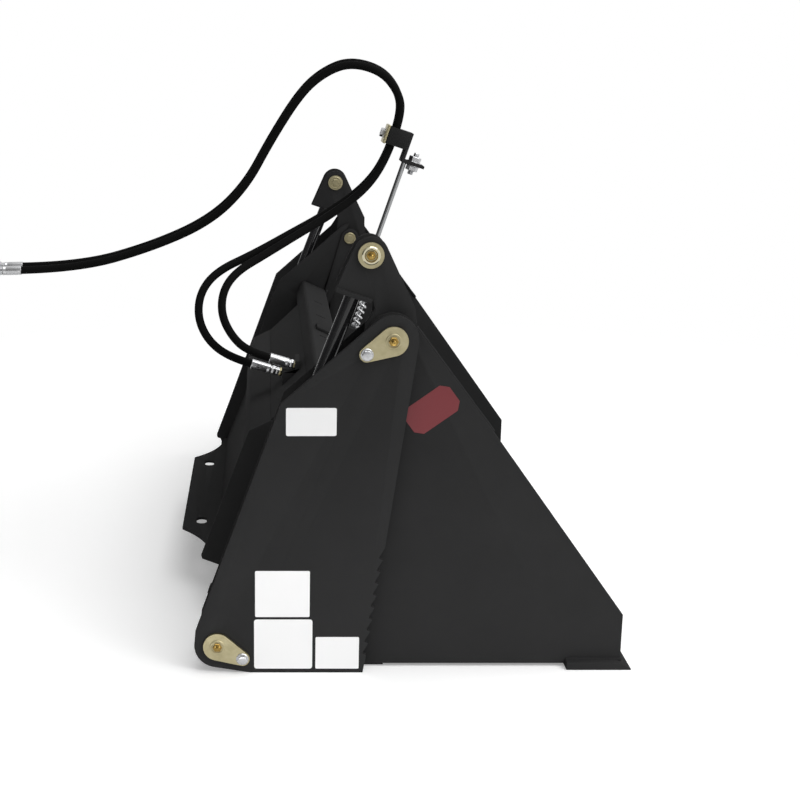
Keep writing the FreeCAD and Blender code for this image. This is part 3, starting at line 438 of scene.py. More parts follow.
def copies_tree():
    group = bpy.data.node_groups.new("copies_on_points", "GeometryNodeTree")
    group.interface.new_socket("Places", in_out="INPUT", socket_type="NodeSocketGeometry")
    group.interface.new_socket("Pattern", in_out="INPUT", socket_type="NodeSocketObject")
    group.interface.new_socket("Finish", in_out="INPUT", socket_type="NodeSocketMaterial")
    group.interface.new_socket("Copies", in_out="OUTPUT", socket_type="NodeSocketGeometry")
    tree = Tree(group)
    places = tree.node("NodeGroupInput", {}, {}, output=0)
    given = places.socket.node
    pattern = Wire(tree, given.outputs["Pattern"])
    coat = Wire(tree, given.outputs["Finish"])
    shape = tree.node("GeometryNodeObjectInfo", {}, {"Object": pattern}, output=4)
    turn = tree.node("GeometryNodeInputNamedAttribute", {"data_type": "FLOAT_VECTOR"}, {"Name": "turn"})
    points = tree.node("GeometryNodeMeshToPoints", {}, {"Mesh": places, "Radius": 0.001})
    copies = tree.node("GeometryNodeInstanceOnPoints", {}, {"Points": points, "Instance": shape,
                                                            "Rotation": turn})
    real = tree.node("GeometryNodeRealizeInstances", {}, {"Geometry": copies})
    coated = tree.node("GeometryNodeSetMaterial", {}, {"Geometry": real, "Material": coat})
    tree.node("NodeGroupOutput", {}, {"Copies": coated})
    return group


def input_key(group, name):
    for item in group.interface.items_tree:
        if item.item_type == "SOCKET" and item.in_out == "INPUT" and item.name == name:
            return item.identifier
    return None


def settled(name, holder):
    """The evaluated result of an object's modifiers as a plain mesh; the holder is removed."""
    bpy.context.view_layer.update()
    result = holder.evaluated_get(bpy.context.evaluated_depsgraph_get())
    mesh = bpy.data.meshes.new_from_object(result)
    mesh.name = name
    bpy.data.objects.remove(holder)
    return mesh


copies_on_points = copies_tree()


def set_out(name, pattern_mesh, places, body, material):
    """Copies of a pattern made along +Z. Each place is (point, sign): the copy points along Y by sign."""
    spots = bpy.data.meshes.new(name + "_places")
    spots.from_pydata([tuple(point) for point, sign in places], [], [])
    turn = spots.attributes.new("turn", "FLOAT_VECTOR", "POINT")
    for record, (point, sign) in zip(turn.data, places):
        record.vector = (-sign * math.pi / 2.0, 0.0, 0.0)
    holder = bpy.data.objects.new(name + "_holder", spots)
    pattern = bpy.data.objects.new(name + "_pattern", pattern_mesh)
    scene.collection.objects.link(holder)
    scene.collection.objects.link(pattern)
    modifier = holder.modifiers.new("copies", "NODES")
    modifier.node_group = copies_on_points
    modifier[input_key(copies_on_points, "Pattern")] = pattern
    modifier[input_key(copies_on_points, "Finish")] = material
    mesh = settled(name, holder)
    bpy.data.objects.remove(pattern)
    smooth_under(mesh, 32.0)
    return piece_from(name, mesh, body, material)


# %% [markdown]
# Each pin has a brass grease nipple in its middle, inside a small raised ring. The flag's tail is held by
# a hexagon bolt on a washer.

# %% Nipples, rings and flag bolts
flag_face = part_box("base_pins")[1][1]
head_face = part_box("rod_pin_heads")[1][1]
ring_bore = 0.0128
flag_ring_radius = 0.0178
head_ring_radius = 0.0205


def nipple_mesh():
    base = turned_mesh("nipple_base", [(0.0, 0.0112), (0.0030, 0.0112), (0.0040, 0.0102)], sides=6)
    tip = turned_mesh("nipple_tip", [(0.0038, 0.0080), (0.0052, 0.0074), (0.0062, 0.0046), (0.0078, 0.0040),
                                     (0.0092, 0.0044), (0.0104, 0.0038), (0.0112, 0.0022), (0.0110, 0.0009)],
                      sides=24)
    return joined_mesh("nipple", [base, tip])


def ring_mesh(outer, inner, height, edge):
    """A flat ring with rounded edges, as a closed sweep."""
    outline = [(inner, 0.0), (inner, height - edge), (inner + edge, height), (outer - edge, height),
               (outer, height - edge), (outer, 0.0)]
    mesh = bpy.data.meshes.new("ring")
    form = bmesh.new()
    sides = 56
    loops = []
    for step in range(sides):
        angle = 2.0 * math.pi * step / sides
        loops.append([form.verts.new((radius * math.cos(angle), radius * math.sin(angle), up))
                      for radius, up in outline])
    for step in range(sides):
        here = loops[step]
        ahead = loops[(step + 1) % sides]
        for corner in range(len(outline)):
            beyond = (corner + 1) % len(outline)
            form.faces.new((here[corner], here[beyond], ahead[beyond], ahead[corner]))
    bmesh.ops.recalc_face_normals(form, faces=form.faces)
    form.to_mesh(mesh)
    form.free()
    return mesh


def both_faces(point, face):
    return [((point.x, sign * face, point.z), sign) for sign in (-1.0, 1.0)]


pin_places = both_faces(base_pin, flag_face) + both_faces(hinge, flag_face)
rod_places = both_faces(rod_pin, head_face)
set_out("flag_nipples", nipple_mesh(), pin_places, "bucket", brass)
set_out("rod_nipples", nipple_mesh(), rod_places, "clamshell", brass)
set_out("flag_rings", ring_mesh(flag_ring_radius, ring_bore, 0.0018, 0.0008), pin_places, "bucket",
        zinc_yellow)
set_out("rod_head_rings", ring_mesh(head_ring_radius, ring_bore, 0.0045, 0.0020), rod_places, "clamshell",
        zinc_polished)


def flag_bolt_mesh():
    washer = ring_mesh(0.0145, 0.0050, 0.0026, 0.0012)
    head = turned_mesh("bolt_head", [(0.0024, 0.0108), (0.0030, 0.0114), (0.0084, 0.0114), (0.0094, 0.0100)],
                       sides=6)
    crown = turned_mesh("bolt_crown", [(0.0092, 0.0096), (0.0095, 0.0090), (0.0096, 0.0030)], sides=24)
    return joined_mesh("flag_bolt", [washer, head, crown])


flag_tail_run = 0.065
flag_tail_angle = math.radians(27.0)
base_tail = base_pin + Vector((flag_tail_run * math.cos(flag_tail_angle), 0.0,
                               -flag_tail_run * math.sin(flag_tail_angle)))
hinge_tail = hinge + Vector((-flag_tail_run * math.cos(flag_tail_angle), 0.0,
                             -flag_tail_run * math.sin(flag_tail_angle)))
bolt_places = both_faces(base_tail, flag_face) + both_faces(hinge_tail, flag_face)
bolts = set_out("flag_bolt_heads", flag_bolt_mesh(), bolt_places, "bucket", zinc_bright)
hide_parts("flag_bolts")
print("set out", len(pin_places) + len(rod_places), "nipples and", len(bolt_places), "bolts")

# %% [markdown]
# The hinge pins and the rod pins' heads also end inside the bucket, where each end is a low hexagon in a
# rounded rim.

# %% Inner ends of the pins
rim_width = 0.0046


def inner_faces(point, node):
    """The inner ends of a node's two pins, which are its points nearest to the middle of the bucket."""
    face = min(abs(vertex.co.y) for vertex in nodes[node].data.vertices)
    print(node, "ends at", round(face, 4))
    return [((point.x, sign * face, point.z), -sign) for sign in (-1.0, 1.0)]


def pin_end_mesh(rim, hexagon):
    edge = ring_mesh(rim, rim - rim_width, 0.0018, 0.0009)
    centre = turned_mesh("pin_hexagon", [(0.0, hexagon), (0.0016, hexagon), (0.0023, hexagon - 0.0008)],
                         sides=6)
    return joined_mesh("pin_end", [edge, centre])


set_out("hinge_pin_ends", pin_end_mesh(0.0185, 0.0116), inner_faces(hinge, "hinge_pins"), "bucket",
        zinc_yellow)
set_out("rod_pin_ends", pin_end_mesh(0.0200, 0.0124), inner_faces(rod_pin, "rod_pin_heads"), "clamshell",
        zinc_yellow)

# %% [markdown]
# The hose support stands on a stiff coil spring, so that a pulled hose bends it over and it springs back.
# A spiral curve is swept by the wire's circle in Geometry Nodes.

# %% Coil spring
support_lean = math.radians(18.6)
support_up = Vector((math.sin(support_lean), 0.0, math.cos(support_lean)))
spring_length = 0.1500
spring_foot = Vector((-0.0615, 0.0, 0.640))
coil_turns = 8.5
coil_radius = 0.0076
wire_radius = 0.0044
core_radius = 0.0034
cup_radius = 0.0112
cup_height = 0.006
cup_step = 0.001


def spring_tree():
    group = bpy.data.node_groups.new("coil_spring", "GeometryNodeTree")
    group.interface.new_socket("Base", in_out="INPUT", socket_type="NodeSocketGeometry")
    for name, value in (("Turns", coil_turns), ("Length", spring_length), ("Wire radius", wire_radius),
                        ("Coil radius", coil_radius)):
        socket = group.interface.new_socket(name, in_out="INPUT", socket_type="NodeSocketFloat")
        socket.default_value = value
    group.interface.new_socket("Finish", in_out="INPUT", socket_type="NodeSocketMaterial")
    group.interface.new_socket("Spring", in_out="OUTPUT", socket_type="NodeSocketGeometry")
    tree = Tree(group)
    given = tree.node("NodeGroupInput", {}, {}).socket.node
    taken = {name: Wire(tree, given.outputs[name])
             for name in ("Turns", "Length", "Wire radius", "Coil radius", "Finish")}
    wire = taken["Wire radius"]
    spiral = tree.node("GeometryNodeCurveSpiral", {}, {
        "Resolution": 28, "Rotations": taken["Turns"], "Start Radius": taken["Coil radius"],
        "End Radius": taken["Coil radius"], "Height": taken["Length"] - wire * 2.0})
    section = tree.node("GeometryNodeCurvePrimitiveCircle", {}, {"Resolution": 12, "Radius": wire})
    wound = tree.node("GeometryNodeCurveToMesh", {}, {"Curve": spiral, "Profile Curve": section,
                                                      "Fill Caps": True})
    rounded = tree.node("GeometryNodeSetShadeSmooth", {}, {"Geometry": wound})
    real = tree.node("GeometryNodeRealizeInstances", {}, {"Geometry": rounded})
    coated = tree.node("GeometryNodeSetMaterial", {}, {"Geometry": real, "Material": taken["Finish"]})
    tree.node("NodeGroupOutput", {}, {"Spring": coated})
    return group


coil_spring = spring_tree()
holder = bpy.data.objects.new("spring_holder", bpy.data.meshes.new("spring_base"))
scene.collection.objects.link(holder)
modifier = holder.modifiers.new("spring", "NODES")
modifier.node_group = coil_spring
modifier[input_key(coil_spring, "Length")] = spring_length
modifier[input_key(coil_spring, "Finish")] = zinc_bright
coil_mesh = settled("support_coil", holder)
coil_mesh.transform(Matrix.Translation(Vector((0.0, 0.0, wire_radius))))
core_stations = [(0.0, cup_radius), (cup_height, cup_radius), (cup_height + cup_step, core_radius),
                 (spring_length - cup_height - cup_step, core_radius),
                 (spring_length - cup_height, cup_radius), (spring_length, cup_radius)]
core_mesh = turned_mesh("spring_core", core_stations, sides=28)
spring_mesh = joined_mesh("support_coil", [coil_mesh, core_mesh])
aimed(spring_mesh, spring_foot, support_up)
spring = piece_from("support_coil", spring_mesh, "bucket", zinc_bright)
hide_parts("support_spring")
print("spring of", len(spring_mesh.polygons), "faces")

# %% [markdown]
# The hoses are half-inch hydraulic hose. Each is one smooth NURBS line through the space that its CAD tube
# holds: back from the port block, round behind the bucket, up through the clamp, over in an arch and
# out to the loader, which holds them up.

# %% Hoses
hose_diameter = 0.022
fitting_rise = math.radians(16.5)
fitting_dir = Vector((-math.cos(fitting_rise), 0.0, math.sin(fitting_rise)))
ferrule_length = 0.056
port_a = Vector((-0.272, -0.258, 0.567))
port_b = Vector((-0.238, -0.294, 0.596))
adapter_a = 0.030
adapter_b = 0.014
hose_lead = 0.060
clamp_low = Vector((0.0135, 0.0, 1.1075))
clamp_high = Vector((0.0588, 0.0, 1.2421))
half_pitch = 0.014
tail_half_pitch = 0.016
coupler_half_pitch = 0.0195
arch_offset = 0.003
start_a = port_a + fitting_dir * (adapter_a + ferrule_length)
start_b = port_b + fitting_dir * (adapter_b + ferrule_length)
arch = [(0.0452, 1.3025), (-0.0010, 1.3555), (-0.0859, 1.3776), (-0.1557, 1.3516), (-0.2198, 1.2971),
        (-0.3015, 1.1701), (-0.3710, 1.0422), (-0.4724, 0.9449)]
route_a = [
    start_a, start_a + fitting_dir * hose_lead, (-0.470, -0.251, 0.652), (-0.499, -0.236, 0.714),
    (-0.491, -0.212, 0.780), (-0.446, -0.178, 0.830), (-0.350, -0.126, 0.868), (-0.250, -0.078, 0.917),
    (-0.150, -0.034, 0.966), (-0.048, 0.004, 1.031), (clamp_low.x, half_pitch, clamp_low.z),
    (clamp_high.x, half_pitch, clamp_high.z)]
route_a += [(x, half_pitch, z + arch_offset) for x, z in arch]
route_a += [(-0.6347, tail_half_pitch, 0.8742), (-0.8393, tail_half_pitch, 0.8160),
            (-1.0055, coupler_half_pitch, 0.8120)]
route_b = [
    start_b, start_b + fitting_dir * hose_lead, (-0.406, -0.287, 0.672), (-0.434, -0.272, 0.728),
    (-0.430, -0.249, 0.788), (-0.394, -0.214, 0.834), (-0.318, -0.164, 0.872), (-0.232, -0.114, 0.918),
    (-0.140, -0.066, 0.966), (-0.045, -0.028, 1.028), (clamp_low.x, -half_pitch, clamp_low.z),
    (clamp_high.x, -half_pitch, clamp_high.z)]
route_b += [(x, -half_pitch, z - arch_offset) for x, z in arch]
route_b += [(-0.6347, -tail_half_pitch, 0.8702), (-0.8393, -tail_half_pitch, 0.8110),
            (-1.0035, -coupler_half_pitch, 0.8070)]


def hose_piece(name, route):
    line = bpy.data.curves.new(name, "CURVE")
    line.dimensions = "3D"
    line.resolution_u = 12
    line.bevel_depth = hose_diameter / 2.0
    line.bevel_resolution = 7
    line.use_fill_caps = True
    spline = line.splines.new("NURBS")
    spline.points.add(len(route) - 1)
    for control, place in zip(spline.points, route):
        control.co = (*place, 1.0)
    spline.order_u = 3
    spline.use_endpoint_u = True
    made = bpy.data.objects.new(name, line)
    scene.collection.objects.link(made)
    line.materials.append(hose_rubber)
    return made


# %% [markdown]
# A hose end is a zinc-plated ferrule with a groove near its end, then a hexagon nut. At the loader's end a
# flat-faced coupler with a grooved sleeve follows the ferrule.

# %% Hose ends
ferrule_radius = 0.0130
ferrule_nut_radius = 0.0122
second_nut_radius = 0.0112
adapter_radius = 0.0120
neck_radius = 0.0095
longest_nut = 0.012
nut_gap = 0.001
adapter_share = 0.28
nut_chamfer = 0.0012
nut_face_share = 0.93


def ferrule_mesh(length, radius):
    stations = [(0.0, radius * 0.93), (0.0012, radius), (length * 0.72, radius)]
    stations += [(length * 0.74, radius * 0.97), (length * 0.80, radius * 0.97), (length * 0.82, radius)]
    stations += [(length - 0.0050, radius), (length - 0.0035, radius * 0.86), (length, radius * 0.80)]
    return turned_mesh("ferrule", stations, sides=64)


def nut_mesh(start, length, across):
    return turned_mesh("nut", [(start, across * nut_face_share), (start + nut_chamfer, across),
                               (start + length - nut_chamfer, across),
                               (start + length, across * nut_face_share)], sides=6)


def fitting_piece(letter, start, adapter):
    """A hose end in its port: ferrule, nuts and neck, and a yellow adapter screwed into the block."""
    back = -fitting_dir
    ferrule_end = start + back * ferrule_length
    port_hex = adapter_share * adapter
    nut_length = min(adapter - port_hex - nut_gap, longest_nut)
    neck = turned_mesh("neck", [(0.0, neck_radius), (adapter + 0.004, neck_radius)], sides=32)
    meshes = [aimed(neck, ferrule_end - back * 0.002, back),
              aimed(nut_mesh(0.0, nut_length, ferrule_nut_radius), ferrule_end, back),
              aimed(ferrule_mesh(ferrule_length, ferrule_radius), start, back)]
    second = adapter - port_hex - nut_length - 2.0 * nut_gap
    if second > 0.0:
        meshes.append(aimed(nut_mesh(nut_length + nut_gap, second, second_nut_radius), ferrule_end, back))
    name = "port_fitting_" + letter
    made = piece_from(name, joined_mesh(name, meshes), "bucket", zinc_bright)
    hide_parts("hose_fitting_" + letter)
    adapter_hex = aimed(nut_mesh(adapter - port_hex, port_hex, adapter_radius), ferrule_end, back)
    piece_from("port_adapter_" + letter, adapter_hex, "bucket", zinc_yellow)


def coupler_piece(name, node, end, direction):
    meshes = [aimed(ferrule_mesh(ferrule_length, ferrule_radius), end, direction)]
    stations = [(0.0535, 0.0118), (0.060, 0.0118), (0.062, 0.0150), (0.072, 0.0150), (0.073, 0.0178),
                (0.078, 0.0180), (0.0785, 0.0170), (0.0815, 0.0170), (0.082, 0.0180), (0.108, 0.0180),
                (0.1085, 0.0168), (0.112, 0.0168), (0.1125, 0.0180), (0.127, 0.0180), (0.130, 0.0160),
                (0.1360, 0.0150), (0.1360, 0.0120), (0.1345, 0.0118), (0.1345, 0.0020)]
    meshes.append(aimed(turned_mesh("sleeve", stations, sides=48), end, direction))
    made = piece_from(name, joined_mesh(name, meshes), "bucket", zinc_bright)
    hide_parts(node)
    return made


for letter, route, start, adapter, length in (("a", route_a, start_a, adapter_a, 2.426),
                                              ("b", route_b, start_b, adapter_b, 2.351)):
    hose = hose_piece("loader_hose_" + letter, route)
    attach(hose, "bucket")
    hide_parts("hose_" + letter)
    fitting_piece(letter, start, adapter)
    outwards = (Vector(route[-1]) - Vector(route[-2])).normalized()
    coupler = coupler_piece("loader_coupler_" + letter, "coupler_" + letter, Vector(route[-1]), outwards)
print("hoses of", len(route_a), "and", len(route_b), "points")

# %% [markdown]
# Above the spring, one long bolt with a washer and a nut on each face holds the bracket, and a zinc strap
# with its own bolt presses the clamp's two halves on the hoses. Every one of them is turned or swept along
# the support's own axes.

# %% Clamp strap and bracket bolt
support_ahead = Vector((math.cos(support_lean), 0.0, -math.sin(support_lean)))


def on_support(up, ahead):
    """A point of the hose support: distance up its line and ahead of it, in metres."""
    return spring_foot + support_up * up + support_ahead * ahead


def strap_mesh(centre, half_up, half_wide, thickness, round_off):
    """A flat bar square to the support's line, with rounded edges."""
    form = bmesh.new()
    bmesh.ops.create_cube(form, size=2.0)
    for vert in form.verts:
        vert.co = (vert.co.x * thickness / 2.0, vert.co.y * half_wide, vert.co.z * half_up)
    bmesh.ops.bevel(form, geom=form.edges[:], offset=round_off, segments=3, profile=0.5, affect="EDGES")
    mesh = bpy.data.meshes.new("strap")
    form.to_mesh(mesh)
    form.free()
    axes = Matrix((support_ahead, (0.0, 1.0, 0.0), support_up)).transposed().to_4x4()
    mesh.transform(Matrix.Translation(centre) @ axes)
    return mesh


bracket_up = 0.483
bracket_thickness = 0.008
bracket_leg_ahead = -0.038
clamp_rise = 0.058
clamp_thickness = 0.058
clamp_up = bracket_up + clamp_rise
clamp_face_ahead = bracket_leg_ahead - clamp_thickness
strap_thickness = 0.008
strap_half_up = 0.026
strap_half_wide = 0.035
strap_rounding = 0.0022
strap_middle = on_support(clamp_up, clamp_face_ahead - strap_thickness / 2.0 - 0.0002)
strap = strap_mesh(strap_middle, strap_half_up, strap_half_wide, strap_thickness, strap_rounding)
smooth_under(strap, 40.0)
strap_piece = piece_from("clamp_strap", strap, "bucket", zinc_yellow)
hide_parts("clamp_plate")
strap_bolt = turned_mesh("strap_bolt", [(0.0, 0.0118), (0.0016, 0.0124), (0.0092, 0.0124), (0.0104, 0.0108)],
                         sides=6)
strap_washer = turned_mesh("strap_washer", [(0.0, 0.0145), (0.0016, 0.0150), (0.0024, 0.0142)], sides=40)
strap_face = on_support(clamp_up, clamp_face_ahead - strap_thickness)
aimed(strap_washer, strap_face, -support_ahead)
aimed(strap_bolt, strap_face - support_ahead * 0.0022, -support_ahead)
piece_from("clamp_strap_bolt", joined_mesh("clamp_strap_bolt", [strap_bolt, strap_washer]), "bucket",
           zinc_bright)

stud_radius = 0.0080
thread_root = 0.0074
thread_start = 0.0160
thread_pitch = 0.0013
bolt_pieces = []
for start, direction in ((bracket_up + bracket_thickness, support_up), (bracket_up, -support_up)):
    washer = turned_mesh("washer", [(0.0, 0.0195), (0.0006, 0.0202), (0.0022, 0.0202), (0.0028, 0.0195)],
                         sides=44)
    nut = nut_mesh(0.0028, 0.0130, 0.0172)
    thread = [(0.0120, stud_radius)]
    for turn in range(7):
        crest = thread_start + turn * thread_pitch
        thread += [(crest, stud_radius), (crest + thread_pitch / 2.0, thread_root)]
    thread += [(0.0252, stud_radius), (0.0262, 0.0070)]
    stud = turned_mesh("stud", thread, sides=28)
    for mesh in (washer, nut, stud):
        bolt_pieces.append(aimed(mesh, on_support(start, 0.0), direction))
bracket_bolt = piece_from("bracket_bolt", joined_mesh("bracket_bolt", bolt_pieces), "bucket",
                          zinc_bright)
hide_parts("support_bolt")
print("strap", round(strap_thickness * 1000.0), "mm thick; bracket bolt of", len(bolt_pieces), "pieces")

# %% [markdown]
# The side plate carries vinyl labels. They are blank here: a thin rounded sheet, proud of the paint by
# its own thickness.

# %% Blank labels
label_thickness = 0.0004


def label(name, low, high, corner, face, body, material):
    """A sheet with rounded corners on the right side, from its low to its high corner in X and Z."""
    outline = []
    for centre_x, centre_z, first in ((high[0] - corner, high[1] - corner, 0.0),
                                      (low[0] + corner, high[1] - corner, 90.0),
                                      (low[0] + corner, low[1] + corner, 180.0),
                                      (high[0] - corner, low[1] + corner, 270.0)):
        for step in range(5):
            angle = math.radians(first + 22.5 * step)
            outline.append((centre_x + corner * math.cos(angle), centre_z + corner * math.sin(angle)))
    return sheet_piece(name, outline, face, body, material)


def sheet_piece(name, outline, face, body, material):
    mesh = bpy.data.meshes.new(name)
    form = bmesh.new()
    back = form.faces.new([form.verts.new((x, -face, z)) for x, z in outline])
    lifted = bmesh.ops.extrude_face_region(form, geom=[back])
    moved = [item for item in lifted["geom"] if isinstance(item, bmesh.types.BMVert)]
    bmesh.ops.translate(form, verts=moved, vec=(0.0, -label_thickness, 0.0))
    bmesh.ops.recalc_face_normals(form, faces=form.faces)
    form.to_mesh(mesh)
    form.free()
    return piece_from(name, mesh, body, material)


label("serial_label_blank", (-0.2698, 0.5742), (-0.1567, 0.6390), 0.004, side_face, "bucket", white_vinyl)
label("upper_label_blank", (-0.3397, 0.1394), (-0.2138, 0.2527), 0.003, side_face, "bucket", white_vinyl)
label("lower_label_blank", (-0.3422, 0.0101), (-0.2070, 0.1332), 0.006, side_face, "bucket", white_vinyl)
label("edge_label_blank", (-0.1995, 0.0101), (-0.0984, 0.0895), 0.003, side_face, "bucket", white_vinyl)

# %% Generic red plate on the clamshell
red_centre = (0.059, 0.626)
red_half_length = 0.062
red_half_width = 0.036
red_clip = 0.016
red_turn = math.radians(36.0)
corners = [(red_half_length, red_half_width - red_clip), (red_half_length - red_clip, red_half_width),
           (-red_half_length + red_clip, red_half_width), (-red_half_length, red_half_width - red_clip),
           (-red_half_length, -red_half_width + red_clip), (-red_half_length + red_clip, -red_half_width),
           (red_half_length - red_clip, -red_half_width), (red_half_length, -red_half_width + red_clip)]
outline = [(red_centre[0] + a * math.cos(red_turn) - b * math.sin(red_turn),
            red_centre[1] + a * math.sin(red_turn) + b * math.cos(red_turn)) for a, b in corners]
sheet_piece("red_plate_blank", outline, clam_face, "clamshell", red_vinyl)
print("labels done")

# %% [markdown]
# Plates are joined by fillet welds. A bead is laid in ripples a few millimetres apart, so the tree walks a
# line, puts a flattened drop at each step and turns it along the line.

# %% Weld beads


def weld_tree():
    group = bpy.data.node_groups.new("weld_bead", "GeometryNodeTree")
    group.interface.new_socket("Line", in_out="INPUT", socket_type="NodeSocketGeometry")
    for name, value in (("Ripple pitch", 0.0042), ("Bead radius", 0.0048)):
        socket = group.interface.new_socket(name, in_out="INPUT", socket_type="NodeSocketFloat")
        socket.default_value = value
    seed = group.interface.new_socket("Seed", in_out="INPUT", socket_type="NodeSocketInt")
    seed.default_value = 7
    group.interface.new_socket("Finish", in_out="INPUT", socket_type="NodeSocketMaterial")
    group.interface.new_socket("Bead", in_out="OUTPUT", socket_type="NodeSocketGeometry")
    tree = Tree(group)
    line = tree.node("NodeGroupInput", {}, {})
    given = line.socket.node
    radius = Wire(tree, given.outputs["Bead radius"])
    steps = tree.node("GeometryNodeResampleCurve", {"mode": "LENGTH"}, {
        "Curve": line, "Length": Wire(tree, given.outputs["Ripple pitch"])})
    along = tree.node("GeometryNodeInputTangent", {}, {})
    turn = tree.node("FunctionNodeAlignRotationToVector", {"axis": "X"}, {"Vector": along})
    drop = tree.node("GeometryNodeMeshUVSphere", {}, {"Segments": 10, "Rings": 6, "Radius": 1.0})
    wander = tree.node("FunctionNodeRandomValue", {"data_type": "FLOAT"}, {
        "Min": 0.92, "Max": 1.08, "Seed": Wire(tree, given.outputs["Seed"])}, output=1)
    size = tree.node("ShaderNodeCombineXYZ", {}, {"X": radius * 0.85, "Y": radius * wander,
                                                  "Z": radius * wander})
    drops = tree.node("GeometryNodeInstanceOnPoints", {}, {"Points": steps, "Instance": drop,
                                                           "Rotation": turn, "Scale": size})
    real = tree.node("GeometryNodeRealizeInstances", {}, {"Geometry": drops})
    rounded = tree.node("GeometryNodeSetShadeSmooth", {}, {"Geometry": real})
    coated = tree.node("GeometryNodeSetMaterial", {}, {
        "Geometry": rounded, "Material": Wire(tree, given.outputs["Finish"])})
    tree.node("NodeGroupOutput", {}, {"Bead": coated})
    return group


weld_bead = weld_tree()


def welds(name, lines, body, radius):
    """One piece of weld beads along several lines of points."""
    path = bpy.data.curves.new(name + "_lines", "CURVE")
    path.dimensions = "3D"
    for points in lines:
        spline = path.splines.new("POLY")
        spline.points.add(len(points) - 1)
        for control, place in zip(spline.points, points):
            control.co = (*place, 1.0)
    holder = bpy.data.objects.new(name + "_holder", path)
    scene.collection.objects.link(holder)
    modifier = holder.modifiers.new("bead", "NODES")
    modifier.node_group = weld_bead
    modifier[input_key(weld_bead, "Bead radius")] = radius
    modifier[input_key(weld_bead, "Ripple pitch")] = radius * 0.9
    modifier[input_key(weld_bead, "Finish")] = black_paint
    return piece_from(name, settled(name, holder), body, black_paint)


def two_sided(points):
    return [points, [(x, -y, z) for x, y, z in points]]


floor_low, floor_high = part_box("clam_floor")
blade_low, blade_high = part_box("clam_cutting_edge")
sheet_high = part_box("moldboard")[1]
brow = (0.201, 0.574)
nose_x = 0.5205
hinge_lobe = 0.057
brow_angle = math.atan2(brow[1] - hinge.z, brow[0] - hinge.x)
brow_run = math.hypot(brow[1] - hinge.z, brow[0] - hinge.x)
lobe_turn = brow_angle + math.acos(hinge_lobe / brow_run)
lobe_end = (hinge.x + hinge_lobe * math.cos(lobe_turn), hinge.z + hinge_lobe * math.sin(lobe_turn))
edge_bead = [(lobe_end[0] + 0.01, clam_face - 0.010, lobe_end[1] - 0.012),
             (brow[0], clam_face - 0.010, brow[1])]
clam_bead = 0.0042
clam_lines = two_sided([(floor_low[0] + 0.01, floor_high[1] - 0.001, floor_high[2]),
                        (floor_high[0], floor_high[1] - 0.001, floor_high[2])])
clam_lines += two_sided([(blade_low[0] + 0.004, clam_face + 0.001, blade_high[2]),
                         (nose_x, clam_face + 0.001, blade_high[2])])
clam_lines += two_sided(edge_bead)
clam_lines.append([(blade_low[0], -floor_high[1] + 0.01, floor_high[2] + 0.001),
                   (blade_low[0], floor_high[1] - 0.01, floor_high[2] + 0.001)])
welds("clamshell_welds", clam_lines, "clamshell", clam_bead)

bucket_bead = 0.0050
tube_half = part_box("cross_tube")[1][1]
bucket_lines = [[(sheet_high[0] - 0.001, -tube_half, sheet_high[2] + 0.001),
                 (sheet_high[0] - 0.001, tube_half, sheet_high[2] + 0.001)]]
ear_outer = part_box("hinge_ears")[1][1]
seat_top = (-0.1107, 0.6115)
seat_foot = (-0.1358, 0.5562)
ear_inner = min(abs(vertex.co.y) for vertex in nodes["hinge_ears"].data.vertices)
for face in (ear_inner - 0.001, ear_outer + 0.001):
    bucket_lines += two_sided([(seat_top[0], face, seat_top[1]), (seat_foot[0], face, seat_foot[1])])
print("ear faces at", round(ear_inner, 4), round(ear_outer, 4))
welds("bucket_welds", bucket_lines, "bucket", bucket_bead)
print("welds laid")

# %% [markdown]
# The floor is a large pale sheet that takes the shadow. It is lifted a little to the camera alone and fades
# to white further out, so that no horizon shows. The world is white to the camera, and in reflections
# beyond the object; as a lamp it is soft, and dimmer behind the bucket than in front of it.

# %% Floor
reach = 30.0
fade_start = 1.6
fade_end = 3.4
floor_lift = 0.27
floor_mesh = bpy.data.meshes.new("floor")
floor_mesh.from_pydata([(-reach, -reach, 0.0), (reach, -reach, 0.0), (reach, reach, 0.0),
                        (-reach, reach, 0.0)], [], [(0, 1, 2, 3)])
floor = bpy.data.objects.new("floor", floor_mesh)
scene.collection.objects.link(floor)
floor_material = bpy.data.materials.new("studio_floor")
floor_material.use_nodes = True
floor_material.node_tree.nodes.clear()
tree = Tree(floor_material.node_tree)
place = tree.node("ShaderNodeTexCoord", {}, {}, output=3)
distance = tree.node("ShaderNodeVectorMath", {"operation": "LENGTH"}, {0: place}, output=1)
fade = tree.node("ShaderNodeMapRange", {}, {"Value": distance, "From Min": fade_start, "From Max": fade_end})
seen = tree.node("ShaderNodeLightPath", {}, {}, output=0)
matte = tree.node("ShaderNodeBsdfDiffuse", {}, {"Color": (0.90, 0.90, 0.90, 1.0)})
white = tree.node("ShaderNodeEmission", {}, {"Color": (1.0, 1.0, 1.0, 1.0), "Strength": 1.0})
lift = tree.node("ShaderNodeEmission", {}, {"Color": (1.0, 1.0, 1.0, 1.0), "Strength": seen * floor_lift})
near = tree.node("ShaderNodeAddShader", {}, {0: matte, 1: lift})
surface = tree.node("ShaderNodeMixShader", {}, {0: fade * seen, 1: near, 2: white})
tree.node("ShaderNodeOutputMaterial", {}, {"Surface": surface})
floor_mesh.materials.append(floor_material)

# %% [markdown]
# A wide soft lamp overhead and a softbox in front and to the right light the object. A low lamp stands for
# the light that a white floor throws up at the plates.

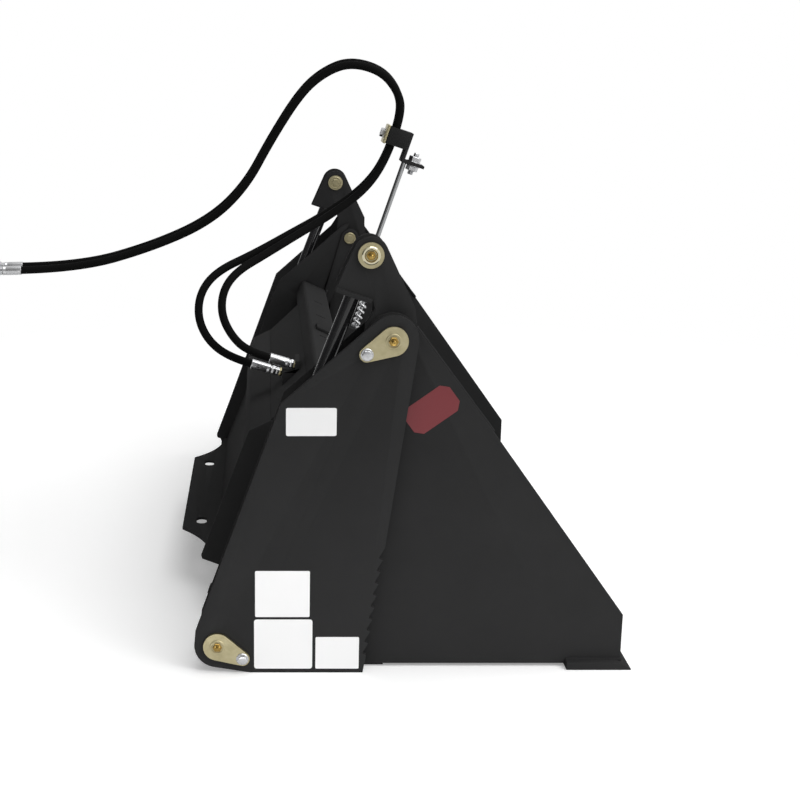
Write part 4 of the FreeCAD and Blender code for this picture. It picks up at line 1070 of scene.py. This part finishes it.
# %% Light
rear_light = 0.08
front_light = 0.76
world = bpy.data.worlds.new("studio")
scene.world = world
world.use_nodes = True
world.node_tree.nodes.clear()
tree = Tree(world.node_tree)
path = tree.node("ShaderNodeLightPath", {}, {}).socket.node
camera_ray = Wire(tree, path.outputs["Is Camera Ray"])
glossy_ray = Wire(tree, path.outputs["Is Glossy Ray"])
clear_ray = Wire(tree, path.outputs["Is Transmission Ray"])
rear_dim = tree.node("ShaderNodeBackground", {}, {"Color": (1.0, 1.0, 1.0, 1.0), "Strength": rear_light})
front_soft = tree.node("ShaderNodeBackground", {}, {"Color": (1.0, 1.0, 1.0, 1.0),
                                                    "Strength": front_light})
bright = tree.node("ShaderNodeBackground", {}, {"Color": (1.0, 1.0, 1.0, 1.0), "Strength": 1.0})
towards = tree.node("ShaderNodeTexCoord", {}, {}, output=0)
split = tree.node("ShaderNodeSeparateXYZ", {}, {"Vector": towards}).socket.node
forwards = Wire(tree, split.outputs["X"])
sideways = Wire(tree, split.outputs["Y"])
front_share = tree.node("ShaderNodeMapRange", {}, {"Value": forwards, "From Min": -1.0, "From Max": 1.0})
room = tree.node("ShaderNodeMixShader", {}, {0: front_share, 1: rear_dim, 2: front_soft})
backdrop = tree.node("ShaderNodeMapRange", {}, {"Value": sideways, "From Min": -0.75, "From Max": 0.0})
ahead = tree.node("ShaderNodeMapRange", {}, {"Value": forwards, "From Min": -0.9, "From Max": 0.0})
shown = (camera_ray + (glossy_ray + clear_ray) * (backdrop * ahead)).clamped()
sky = tree.node("ShaderNodeMixShader", {}, {0: shown, 1: room, 2: bright})
tree.node("ShaderNodeOutputWorld", {}, {"Surface": sky})


def aim(data, name, place, target):
    made = bpy.data.objects.new(name, data)
    made.location = place
    made.rotation_euler = (Vector(target) - Vector(place)).to_track_quat("-Z", "Y").to_euler()
    scene.collection.objects.link(made)
    return made


overhead = bpy.data.lights.new("overhead", "SUN")
overhead.energy = 1.55
overhead.angle = math.radians(55.0)
aim(overhead, "overhead", (1.2, -0.6, 3.2), (0.0, 0.0, 0.0))
front_right = bpy.data.lights.new("front_right", "AREA")
front_right.size = 1.6
front_right.energy = 45.0
aim(front_right, "front_right", (3.0, -3.4, 2.6), (0.0, 0.0, 0.5))
floor_glow = bpy.data.lights.new("floor_glow", "AREA")
floor_glow.shape = "RECTANGLE"
floor_glow.size = 2.6
floor_glow.size_y = 0.14
floor_glow.energy = 3.0
glow = aim(floor_glow, "floor_glow", (0.1, -1.52, 0.05), (0.1, 0.0, 0.05))
glow.visible_camera = False
print("stage set")
